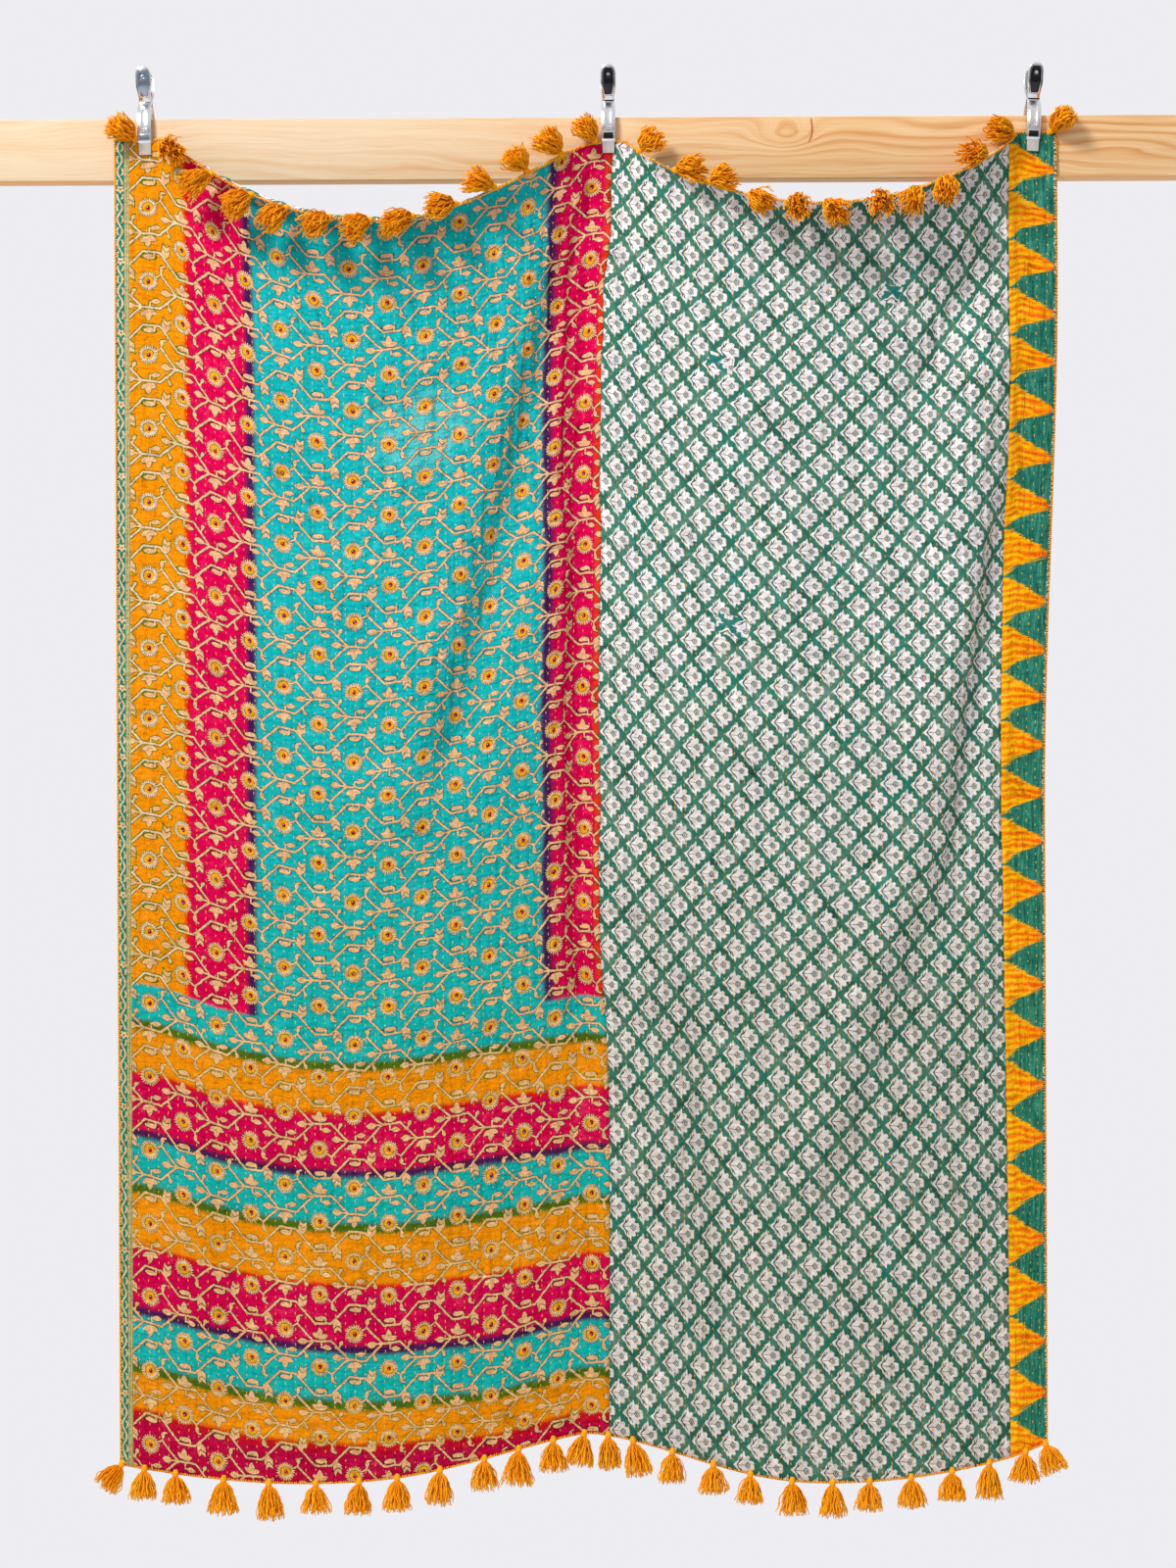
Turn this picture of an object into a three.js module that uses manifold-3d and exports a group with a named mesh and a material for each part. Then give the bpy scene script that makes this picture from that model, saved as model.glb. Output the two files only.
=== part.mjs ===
// A kantha quilt hung by three spring clips on a timber rail. Millimetres, +Z up.
// The origin is the middle of the rail's back face. The quilt hangs on the -Y side, and +X is to its right.
import * as THREE from "three";
import { mergeVertices } from "three/addons/utils/BufferGeometryUtils.js";
import Module from "manifold-3d";

// Driving dimensions
const GAP = 0.3; // between pieces that touch
const RAIL = { length: 1900, height: 90, thickness: 35 };
const CLOTH = { width: 1440, length: 1925, thickness: 2.6, clearance: 2 };
const QUILTING = { pitch: 15, relief: 1 }; // rows of running stitch, from the top edge to the hem
const PANELS = { seam: 757.5, border: 1367.5 }; // where the two sewn joins lie across the flat cloth
const EDGING = { width: 4, gap: 1.2 }; // the stitched edging that carries the tassels

// Where each clip sits on the rail, which point of the flat top edge it holds, and how high
const CLIPS = [
  { name: "left", x: -641, edge: 44, height: 15, tilt: -1.5 },
  { name: "middle", x: 34, edge: 753, height: 9, tilt: 0 },
  { name: "right", x: 652, edge: 1405, height: 20, tilt: 3 },
];
const HELD = 18; // cloth held flat on either side of a clip's middle

// The cloth between two clips. drop is how far the top edge sags, belly how far the cloth swells forwards,
// lean how far its top leans out besides, and roll how many degrees the edge turns over. left and right say
// how full each half of the sag is, and rollLeft and rollRight how full each half of the roll is.
const SWAGS = [
  { drop: 126, left: 1.05, right: 1.25, belly: 38, lean: 26, roll: 160, rollLeft: 0.4, rollRight: 1.5 },
  { drop: 111, left: 0.95, right: 0.95, belly: 34, lean: 40, roll: 130, rollLeft: 0.9, rollRight: 0.6 },
];
const BELLY = { fullness: 0.85, atHem: 0.6 }; // its roundness, and the share of it that is left at the hem
const LEAN_REACH = 75; // how far down the lean is felt
const ROLL_LENGTH = 26; // cloth in the turned edge
const VALLEY = { shift: 30, reach: 200 }; // between the swags: how far it strays left of the clip, and by where

// The hem's height under the left corner, the valley and the right corner, and how far it sags between them
const HEM_HEIGHTS = [-1915, -1874, -1890];
const HEM_SAGS = [
  { drop: 44, left: 0.8, right: 1.4 },
  { drop: 61, left: 1.7, right: 0.85 },
];
const SIDES = { left: -686, rightTop: 687, rightHem: 665, taperFrom: 200, taperTo: 1000 };

// Main folds, each along a line on the flat cloth, with u from its left edge and v from its top edge. rise is
// how far the fold stands forwards, or back where it is negative, and spread is its half width.
const FOLDS = [
  { name: "pull below the middle clip", from: [700, 120], to: [500, 900], rise: -17, spread: 42 },
  { name: "valley beside the seam", from: [722, 180], to: [724, 1300], rise: -15, spread: 24 },
  { name: "crest beside that pull", from: [640, 160], to: [420, 960], rise: 9, spread: 60 },
  { name: "tuck under the right clip", from: [1352, 90], to: [1210, 330], rise: -13, spread: 30 },
  { name: "upper crest of the right swag", from: [1330, 220], to: [1265, 900], rise: 17, spread: 62 },
  { name: "lower crest of the right swag", from: [1265, 860], to: [1070, 1500], rise: 17, spread: 70 },
  { name: "hollow beside the border", from: [1362, 520], to: [1290, 1060], rise: -14, spread: 30 },
  { name: "hollow above the right hem", from: [1270, 1060], to: [1090, 1560], rise: -12, spread: 46 },
  { name: "furrow in the lower right panel", from: [905, 1190], to: [960, 1780], rise: -12, spread: 34 },
  { name: "crest beside that furrow", from: [830, 1160], to: [850, 1900], rise: 9, spread: 44 },
  { name: "left hem wave", from: [170, 1500], to: [150, 1925], rise: -10, spread: 60 },
  { name: "middle hem wave", from: [430, 1400], to: [470, 1925], rise: 9, spread: 70 },
];

const FOLD_FADE = 3; // half widths over which a fold dies away at either end

// Where the cloth is drawn aside besides. across is where on the flat cloth that starts, is fullest and ends,
// and down is where it starts, is full, begins to fade and ends.
const DRIFTS = [
  { name: "seam drawn left", across: [200, 757.5, 1300], down: [100, 330, 1200, 1550], aside: -9.5 },
  { name: "border drawn in at the hem", across: [950, 1367.5, 1440], down: [100, 1900, 2400, 2600], aside: 12.5 },
];

// Tassels along the top edge: x of the root on the rail, the angle of the skirt seen from the front (0 points
// right, 90 up), and its tilt towards the viewer
const TOP_TASSELS = [
  { x: -658, angle: 145, tilt: 32 },
  { x: -612, angle: 310, tilt: 62 },
  { x: -539, angle: 212, tilt: 36 },
  { x: -483, angle: 214, tilt: 36 },
  { x: -428, angle: 219, tilt: 36 },
  { x: -365, angle: 207, tilt: 38 },
  { x: -307, angle: 208, tilt: 38 },
  { x: -246, angle: 202, tilt: 38 },
  { x: -183, angle: 192, tilt: 38 },
  { x: -130, angle: 168, tilt: 36 },
  { x: -82, angle: 133, tilt: 32 },
  { x: -33, angle: 140, tilt: 32 },
  { x: 14, angle: 165, tilt: 34 },
  { x: 75, angle: 42, tilt: 34 },
  { x: 126, angle: 4, tilt: 36 },
  { x: 179, angle: 20, tilt: 36 },
  { x: 236, angle: 318, tilt: 40 },
  { x: 299, angle: 270, tilt: 55 },
  { x: 349, angle: 320, tilt: 44 },
  { x: 423, angle: 250, tilt: 55 },
  { x: 485, angle: 240, tilt: 55 },
  { x: 533, angle: 280, tilt: 48 },
  { x: 581, angle: 150, tilt: 52 },
  { x: 624, angle: 160, tilt: 36 },
  { x: 676, angle: 52, tilt: 32 },
];

// Tassels along the hem, which hang nearly straight down
const HEM_TASSELS = [
  { x: -680, angle: 232, tilt: 8 },
  { x: -650, angle: 268, tilt: 6 },
  { x: -605, angle: 272, tilt: 9 },
  { x: -534, angle: 269, tilt: 5 },
  { x: -468, angle: 273, tilt: 8 },
  { x: -399, angle: 270, tilt: 6 },
  { x: -336, angle: 266, tilt: 9 },
  { x: -281, angle: 271, tilt: 6 },
  { x: -219, angle: 268, tilt: 8 },
  { x: -155, angle: 272, tilt: 5 },
  { x: -105, angle: 267, tilt: 8 },
  { x: -55, angle: 270, tilt: 6 },
  { x: -9, angle: 260, tilt: 9 },
  { x: 25, angle: 271, tilt: 5 },
  { x: 60, angle: 280, tilt: 8 },
  { x: 118, angle: 269, tilt: 6 },
  { x: 177, angle: 272, tilt: 9 },
  { x: 231, angle: 268, tilt: 5 },
  { x: 291, angle: 271, tilt: 8 },
  { x: 350, angle: 269, tilt: 6 },
  { x: 404, angle: 267, tilt: 8 },
  { x: 464, angle: 272, tilt: 5 },
  { x: 524, angle: 270, tilt: 9 },
  { x: 579, angle: 268, tilt: 6 },
  { x: 633, angle: 264, tilt: 8 },
  { x: 660, angle: 290, tilt: 6 },
];
const TASSEL = { skirt: 40, flare: 13, turnEach: 0.7 };
const NECK = { length: 2, sunk: 1.5, radius: 1.3 };
const HEAD = { length: 12, radius: 5.2, widestAt: 0.45, undersideShare: 0.8 };
const LOCK = { count: 5, tipRadius: 9 };

// A spring clip is two pressed-steel levers on a coil spring, which pinch the cloth on the rail from above
const LEVER = { top: 120, jawTop: 8, jawBottom: -8.5, sheet: 1.6 }; // heights from the rail's middle
const LEVER_WIDTHS = { head: 22, waist: 16.6, body: 20 };
const SPRING = { height: 72, radius: 7.6, length: 14, sides: 12 };
const SHOULDER = { below: 12, above: 4, head: 20 }; // from the spring to the body, the waist and the full head
const HOLE = { height: 106, radius: 2 };
// Where a lever's jaw arm bows away from the line of its jaw, and where its handle stands off the rail's middle
const JAW_ARM = [
  { z: 14, bow: 2.5 },
  { z: 32, bow: 4 },
  { z: 50, bow: 2 },
];
const HANDLE = [
  { z: 92, out: 19 },
  { z: 120, out: 24 },
];

const wasm = await Module();
wasm.setup();

const clamp = (value, low, high) => Math.min(Math.max(value, low), high);
const mix = (a, b, share) => a + (b - a) * share;
const ease = (value) => clamp(value, 0, 1) ** 2 * (3 - 2 * clamp(value, 0, 1));

// A hump from 0 to 1 and back to 0, with its own fullness on either half.
function hump(share, left, right) {
  const half = Math.max(Math.sin(Math.PI * clamp(share, 0, 1)), 0);
  return half ** (share < 0.5 ? left : right);
}

// Where a point of the flat cloth lies between two clips: the swag and the share of the way across it.
function swagAt(u, v) {
  const valley = CLIPS[1].edge - VALLEY.shift * ease(v / VALLEY.reach);
  const index = u < valley ? 0 : 1;
  const start = index === 0 ? CLIPS[0].edge + HELD : valley + HELD;
  const end = index === 0 ? valley - HELD : CLIPS[2].edge - HELD;
  return { index, share: clamp((u - start) / (end - start), 0, 1) };
}

// Height of the top edge's crest where it sags between the clips.
function topHeight(u) {
  const { index, share } = swagAt(u, 0);
  const swag = SWAGS[index];
  const held = mix(CLIPS[index].height, CLIPS[index + 1].height, share);
  return held - swag.drop * hump(share, swag.left, swag.right);
}

function hemHeight(u) {
  const valley = CLIPS[1].edge - VALLEY.shift;
  const index = u < valley ? 0 : 1;
  const share = index === 0 ? u / valley : (u - valley) / (CLOTH.width - valley);
  const sag = HEM_SAGS[index];
  return mix(HEM_HEIGHTS[index], HEM_HEIGHTS[index + 1], share) - sag.drop * hump(share, sag.left, sag.right);
}

// How far one fold moves the cloth forwards at a point. It fades out at both ends of its line.
function foldRise(fold, u, v) {
  const run = [fold.to[0] - fold.from[0], fold.to[1] - fold.from[1]];
  const length = Math.hypot(...run);
  const along = ((u - fold.from[0]) * run[0] + (v - fold.from[1]) * run[1]) / length;
  const aside = ((u - fold.from[0]) * run[1] - (v - fold.from[1]) * run[0]) / length;
  const fadeLength = FOLD_FADE * fold.spread;
  const fade = ease((along + fold.spread) / fadeLength) * ease((length + fold.spread - along) / fadeLength);
  return fold.rise * fade * Math.exp(-((aside / fold.spread) ** 2));
}

// The turned-over top edge is an arc. It gives the arc's forward and upward reach at a distance past its start,
// and the height of its crest.
function rollArc(u, past) {
  const { index, share } = swagAt(u, 0);
  const { roll, rollLeft, rollRight } = SWAGS[index];
  const turn = THREE.MathUtils.degToRad(Math.max(roll * hump(share, rollLeft, rollRight), 1));
  const radius = ROLL_LENGTH / turn;
  const swept = (Math.max(past, 0) / ROLL_LENGTH) * turn;
  return {
    forward: radius * (1 - Math.cos(swept)),
    up: radius * Math.sin(swept),
    crest: radius * Math.sin(Math.min(turn, Math.PI / 2)),
  };
}

function heightAt(u, v) {
  const arc = rollArc(u, ROLL_LENGTH - v);
  const bodyTop = topHeight(u) - arc.crest;
  const share = Math.max(v - ROLL_LENGTH, 0) / (CLOTH.length - ROLL_LENGTH);
  return mix(bodyTop, hemHeight(u), share) + arc.up;
}

// How far the cloth's middle stands in front of the rail's front face.
function forwardAt(u, v) {
  const { index, share } = swagAt(u, v);
  const swag = SWAGS[index];
  const round = hump(share, BELLY.fullness, BELLY.fullness);
  const belly = swag.belly * round * mix(1, BELLY.atHem, v / CLOTH.length);
  const lean = swag.lean * hump(share, 1, 1) * Math.exp(-Math.max(v, 0) / LEAN_REACH);
  const folds = FOLDS.reduce((sum, fold) => sum + foldRise(fold, u, v), 0);
  const nearest = CLOTH.clearance + CLOTH.thickness / 2;
  return nearest + belly + lean + folds + rollArc(u, ROLL_LENGTH - v).forward;
}

// How far a point is drawn aside.
function driftAt(u, v) {
  return DRIFTS.reduce((sum, { across, down, aside }) => {
    const [start, peak, end] = across;
    const [from, full, fade, to] = down;
    const beside = ease((u - start) / (peak - start)) * ease((end - u) / (end - peak));
    return sum + aside * beside * ease((v - from) / (full - from)) * ease((to - v) / (to - fade));
  }, 0);
}

// The cloth keeps its length along a row, so folds draw it in sideways. It gives x at even stations of the row,
// with the row eased to the sides of the hung cloth.
const STATION = 5;
const LEAST_ADVANCE = 0.35 * STATION; // sideways, however steep the cloth
const rowCache = new Map();
function rowStations(v) {
  if (rowCache.has(v)) return rowCache.get(v);
  const stations = [0];
  for (let u = STATION; u <= CLOTH.width; u += STATION) {
    const rise = heightAt(u, v) - heightAt(u - STATION, v);
    const out = forwardAt(u, v) - forwardAt(u - STATION, v);
    const across = Math.sqrt(Math.max(STATION ** 2 - rise ** 2 - out ** 2, LEAST_ADVANCE ** 2));
    stations.push(stations.at(-1) + across);
  }
  const tapered = ease((v - SIDES.taperFrom) / (SIDES.taperTo - SIDES.taperFrom));
  const right = mix(SIDES.rightTop, SIDES.rightHem, tapered);
  const stretch = (right - SIDES.left) / stations.at(-1);
  const placed = stations.map((x, i) => SIDES.left + x * stretch + driftAt(i * STATION, v));
  rowCache.set(v, placed);
  return placed;
}

// A point of the cloth's middle.
function clothPoint(u, v) {
  const stations = rowStations(v);
  const index = clamp(Math.floor(u / STATION), 0, stations.length - 2);
  const x = mix(stations[index], stations[index + 1], u / STATION - index);
  return new THREE.Vector3(x, -RAIL.thickness - forwardAt(u, v), heightAt(u, v));
}

// The cloth's outward direction, towards the viewer.
function clothNormal(u, v) {
  const step = 2;
  const across = clothPoint(u + step, v).sub(clothPoint(u - step, v));
  const down = clothPoint(u, v + step).sub(clothPoint(u, v - step));
  return down.cross(across).normalize();
}

// A closed sheet on the cloth's folds. The front has a column of points at each u in columns, moved by relief,
// and the back has one at every stride of them.
function sheetGeometry(columns, rows, stride, relief) {
  const positions = [];
  const triangles = [];
  const put = (u, v, offset) => {
    positions.push(...clothPoint(u, v).addScaledVector(clothNormal(u, v), offset));
    return positions.length / 3 - 1;
  };
  const backColumns = columns.map((_, i) => i).filter((i) => i % stride === 0 || i === columns.length - 1);
  const half = CLOTH.thickness / 2;
  const front = rows.map((v) => columns.map((u, i) => put(u, v, half + relief(i))));
  const back = rows.map((v) => backColumns.map((i) => put(columns[i], v, -half)));
  const quad = (a, b, c, d) => triangles.push(a, b, c, a, c, d);
  for (let r = 0; r + 1 < rows.length; r++) {
    for (let c = 0; c + 1 < columns.length; c++)
      quad(front[r][c], front[r + 1][c], front[r + 1][c + 1], front[r][c + 1]);
    for (let c = 0; c + 1 < backColumns.length; c++)
      quad(back[r][c], back[r][c + 1], back[r + 1][c + 1], back[r + 1][c]);
    quad(back[r][0], back[r + 1][0], front[r + 1][0], front[r][0]);
    quad(back[r].at(-1), front[r].at(-1), front[r + 1].at(-1), back[r + 1].at(-1));
  }
  // The walls along the top and bottom rows join many front points to few back points.
  const wall = (frontRow, backRow, turn) => {
    const add = (a, b, c) => triangles.push(...(turn ? [a, c, b] : [a, b, c]));
    for (let b = 0; b + 1 < backColumns.length; b++) {
      const [start, end] = [backColumns[b], backColumns[b + 1]];
      const middle = Math.floor((start + end) / 2);
      for (let c = start; c < end; c++)
        add(frontRow[c], frontRow[c + 1], backRow[c < middle ? b : b + 1]);
      add(backRow[b], frontRow[middle], backRow[b + 1]);
    }
  };
  wall(front[0], back[0], false);
  wall(front.at(-1), back.at(-1), true);
  const geometry = new THREE.BufferGeometry();
  geometry.setAttribute("position", new THREE.Float32BufferAttribute(positions, 3));
  geometry.setIndex(triangles);
  return geometry;
}

const evenly = (from, to, count) => Array.from({ length: count + 1 }, (_, i) => mix(from, to, i / count));

// Rows of points down the cloth: four over the rolled edge, then wider and wider apart.
const ROWS = { roll: 4, body: 12, growth: 1.25 };
const clothRows = [
  ...evenly(0, ROLL_LENGTH, ROWS.roll),
  ...evenly(0, 1, ROWS.body).slice(1).map((share) => mix(ROLL_LENGTH, CLOTH.length, share ** ROWS.growth)),
];
const BACK_STRIDE = 4; // the plain back needs only one column in four

// Columns of points across a panel between two joins: one in each row of stitching and one on each rib.
function ribColumns(from, to) {
  const ribs = Math.round((to - from) / QUILTING.pitch);
  return evenly(from + GAP / 2, to - GAP / 2, 2 * ribs);
}

// One panel of the quilt between two joins. Its rows of stitching lie in the hollows between raised ribs.
function quiltedPanel(from, to) {
  const relief = (i) => (i % 2 ? 0 : -QUILTING.relief);
  return sheetGeometry(ribColumns(from, to), clothRows, BACK_STRIDE, relief);
}

const SAME_POINT = 1e-4; // points closer than this are one

// A closed geometry as a solid that can be joined and cut.
function solidOf(geometry) {
  const bare = new THREE.BufferGeometry();
  bare.setAttribute("position", geometry.getAttribute("position"));
  bare.setIndex(geometry.index);
  const merged = mergeVertices(bare, SAME_POINT);
  return new wasm.Manifold(
    new wasm.Mesh({
      numProp: 3,
      vertProperties: new Float32Array(merged.getAttribute("position").array),
      triVerts: new Uint32Array(merged.index.array),
    }),
  );
}

function geometryOf(solid) {
  const mesh = solid.getMesh();
  const geometry = new THREE.BufferGeometry();
  geometry.setAttribute("position", new THREE.BufferAttribute(mesh.vertProperties, 3));
  geometry.setIndex(new THREE.BufferAttribute(mesh.triVerts, 1));
  return geometry;
}

// A tassel is a sewn neck, a bound head and a skirt of three-sided locks that grow from the head's underside
// and spread apart. It is drawn with its skirt along +Y, and turn sets its locks round that axis.
function tasselGeometry(turn) {
  const headEnd = NECK.length + HEAD.length;
  const rings = [
    { y: -NECK.sunk, radius: NECK.radius },
    { y: NECK.length, radius: NECK.radius },
    { y: NECK.length + HEAD.widestAt * HEAD.length, radius: HEAD.radius },
    { y: headEnd, radius: HEAD.undersideShare * HEAD.radius },
  ];
  const positions = [];
  const triangles = [];
  const put = (x, y, z) => positions.push(x, y, z) / 3 - 1;
  const around = (i) => turn + (2 * Math.PI * i) / LOCK.count;
  const next = (i) => (i + 1) % LOCK.count;
  const quad = (a, b, c, d) => triangles.push(a, b, c, a, c, d);
  const corners = rings.map(({ y, radius }) =>
    evenly(0, LOCK.count - 1, LOCK.count - 1).map((i) =>
      put(radius * Math.cos(around(i)), y, radius * Math.sin(around(i))),
    ),
  );
  for (let i = 1; i + 1 < LOCK.count; i++) triangles.push(corners[0][0], corners[0][i], corners[0][i + 1]);
  for (let r = 0; r + 1 < rings.length; r++)
    for (let i = 0; i < LOCK.count; i++)
      quad(corners[r][i], corners[r + 1][i], corners[r + 1][next(i)], corners[r][next(i)]);
  const middle = put(0, headEnd, 0);
  const under = corners.at(-1);
  const tipHeight = headEnd + TASSEL.skirt;
  for (let i = 0; i < LOCK.count; i++) {
    const spoke = around(i + 0.5);
    const tipCorner = (side) =>
      put(
        TASSEL.flare * Math.cos(spoke) + LOCK.tipRadius * Math.cos(spoke + side),
        tipHeight,
        TASSEL.flare * Math.sin(spoke) + LOCK.tipRadius * Math.sin(spoke + side),
      );
    const inner = tipCorner(Math.PI);
    const first = tipCorner(-Math.PI / 3);
    const second = tipCorner(Math.PI / 3);
    quad(under[i], first, second, under[next(i)]);
    quad(under[next(i)], second, inner, middle);
    quad(middle, inner, first, under[i]);
    triangles.push(inner, second, first);
  }
  const geometry = new THREE.BufferGeometry();
  geometry.setAttribute("position", new THREE.Float32BufferAttribute(positions, 3));
  geometry.setIndex(triangles);
  return geometry;
}

// The flat cloth's u at which its row lies over an x of the rail.
function uAtX(x, v) {
  const stations = rowStations(v);
  const index = stations.findIndex((station) => station >= x);
  const before = stations[index - 1];
  return STATION * (index - 1 + (x - before) / (stations[index] - before));
}

// A length of edging beside the edge of the panels between some joins, with the tassels that are sewn to it.
function edgingGeometry(joins, atHem, tassels) {
  const near = atHem ? CLOTH.length + EDGING.gap : -EDGING.gap - EDGING.width;
  const rows = [near, near + EDGING.width];
  const middle = near + EDGING.width / 2;
  const columns = joins
    .slice(1)
    .flatMap((to, i) => ribColumns(joins[i], to).filter((_, c) => c % 2 === 0 && (i === 0 || c > 0)));
  let solid = solidOf(sheetGeometry(columns, rows, 1, () => 0));
  tassels.forEach(({ x, angle, tilt }, i) => {
    const u = uAtX(x, middle);
    if (u < joins[0] || u > joins.at(-1)) return;
    const side = THREE.MathUtils.degToRad(angle);
    const out = THREE.MathUtils.degToRad(tilt);
    const pointing = new THREE.Vector3(
      Math.cos(side) * Math.cos(out),
      -Math.sin(out),
      Math.sin(side) * Math.cos(out),
    );
    const root = clothPoint(u, middle);
    const tassel = tasselGeometry(i * TASSEL.turnEach);
    tassel.applyQuaternion(new THREE.Quaternion().setFromUnitVectors(new THREE.Vector3(0, 1, 0), pointing));
    tassel.translate(root.x, root.y, root.z);
    solid = solid.add(solidOf(tassel));
  });
  return geometryOf(solid);
}

// Side profile of a lever, as heights and distances from the rail's middle plane, where jaw is that of its jaw.
function leverProfile(jaw) {
  return [
    { z: LEVER.jawBottom, out: jaw },
    { z: LEVER.jawTop, out: jaw },
    ...JAW_ARM.map(({ z, bow }) => ({ z, out: jaw + bow })),
    { z: SPRING.height, out: SPRING.radius + GAP },
    ...HANDLE,
  ];
}

function leverSolid(jaw) {
  const profile = leverProfile(jaw);
  const side = new THREE.Shape([
    ...profile.map(({ z, out }) => new THREE.Vector2(out, z)),
    ...profile.toReversed().map(({ z, out }) => new THREE.Vector2(out + LEVER.sheet, z)),
  ]);
  // The bent strip lies in a plane of out and height, and is as wide as the lever's head.
  const strip = new THREE.ExtrudeGeometry(side, { depth: LEVER_WIDTHS.head, bevelEnabled: false });
  strip.translate(0, 0, -LEVER_WIDTHS.head / 2);
  const outline = new THREE.Shape();
  const [head, waist, body] = [LEVER_WIDTHS.head / 2, LEVER_WIDTHS.waist / 2, LEVER_WIDTHS.body / 2];
  const below = LEVER.jawBottom - LEVER.sheet; // just past the strip's lower end
  outline.moveTo(-body, below);
  outline.lineTo(body, below);
  outline.lineTo(body, SPRING.height - SHOULDER.below);
  outline.lineTo(waist, SPRING.height);
  outline.lineTo(waist, SPRING.height + SHOULDER.above);
  outline.lineTo(head, SPRING.height + SHOULDER.head);
  outline.absarc(0, LEVER.top - head, head, 0, Math.PI, false);
  outline.lineTo(-head, SPRING.height + SHOULDER.head);
  outline.lineTo(-waist, SPRING.height + SHOULDER.above);
  outline.lineTo(-waist, SPRING.height);
  outline.lineTo(-body, SPRING.height - SHOULDER.below);
  const hole = new THREE.Path();
  hole.absarc(0, HOLE.height, HOLE.radius, 0, 2 * Math.PI, true);
  outline.holes.push(hole);
  const through = 2 * RAIL.thickness;
  const front = new THREE.ExtrudeGeometry(outline, { depth: through, bevelEnabled: false, curveSegments: 8 });
  front.rotateY(Math.PI / 2);
  const lever = geometryOf(solidOf(strip).intersect(solidOf(front)));
  // From out, height and width to the -Y, Z and -X of the frame.
  return lever.applyMatrix4(new THREE.Matrix4().set(0, 0, -1, 0, -1, 0, 0, 0, 0, 1, 0, 0, 0, 0, 0, 1));
}

const MATERIALS = {
  pine: new THREE.MeshStandardMaterial({ color: 0xe8bd84, roughness: 0.65, metalness: 0 }),
  steel: new THREE.MeshStandardMaterial({ color: 0xc9ccd0, roughness: 0.18, metalness: 1 }),
  sari: new THREE.MeshStandardMaterial({ color: 0x19b5b5, roughness: 0.9, metalness: 0 }),
  leafPrint: new THREE.MeshStandardMaterial({ color: 0x2f7f66, roughness: 0.9, metalness: 0 }),
  ikat: new THREE.MeshStandardMaterial({ color: 0xff9a00, roughness: 0.9, metalness: 0 }),
  yarn: new THREE.MeshStandardMaterial({ color: 0xfda50f, roughness: 0.95, metalness: 0 }),
};

const quilt = new THREE.Group();

function addPiece(parent, name, geometry, material) {
  const mesh = new THREE.Mesh(geometry, material);
  mesh.name = name;
  parent.add(mesh);
  return mesh;
}

const rail = addPiece(
  quilt,
  "rail",
  new THREE.BoxGeometry(RAIL.length, RAIL.thickness, RAIL.height),
  MATERIALS.pine,
);
rail.position.y = -RAIL.thickness / 2;

addPiece(quilt, "sari_panel", quiltedPanel(0, PANELS.seam), MATERIALS.sari);
addPiece(quilt, "leaf_panel", quiltedPanel(PANELS.seam, PANELS.border), MATERIALS.leafPrint);
addPiece(quilt, "ikat_border", quiltedPanel(PANELS.border, CLOTH.width), MATERIALS.ikat);

for (const [edge, atHem, tassels] of [
  ["top", false, TOP_TASSELS],
  ["hem", true, HEM_TASSELS],
]) {
  const left = edgingGeometry([0, PANELS.seam], atHem, tassels);
  const right = edgingGeometry([PANELS.seam, PANELS.border, CLOTH.width], atHem, tassels);
  addPiece(quilt, `tassels_${edge}_left`, left, MATERIALS.yarn);
  addPiece(quilt, `tassels_${edge}_right`, right, MATERIALS.yarn);
}

const frontJaw = RAIL.thickness / 2 + CLOTH.clearance + CLOTH.thickness + 2 * GAP;
const backJaw = RAIL.thickness / 2 + GAP;
for (const clip of CLIPS) {
  const group = new THREE.Group();
  group.position.set(clip.x, -RAIL.thickness / 2, 0);
  group.rotation.y = THREE.MathUtils.degToRad(clip.tilt);
  addPiece(group, `clip_${clip.name}_front`, leverSolid(frontJaw), MATERIALS.steel);
  const back = addPiece(group, `clip_${clip.name}_back`, leverSolid(backJaw), MATERIALS.steel);
  back.rotation.z = Math.PI;
  const coil = new THREE.CylinderGeometry(SPRING.radius, SPRING.radius, SPRING.length, SPRING.sides);
  coil.rotateZ(Math.PI / 2);
  addPiece(group, `clip_${clip.name}_spring`, coil, MATERIALS.steel).position.z = SPRING.height;
  quilt.add(group);
}

export default quilt;
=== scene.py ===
"""A kantha quilt hung by three spring clips on a timber rail. Metres, +Z up, the viewer on the -Y side."""

import math

import bpy
import numpy as np
from mathutils import Matrix, Vector


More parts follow.
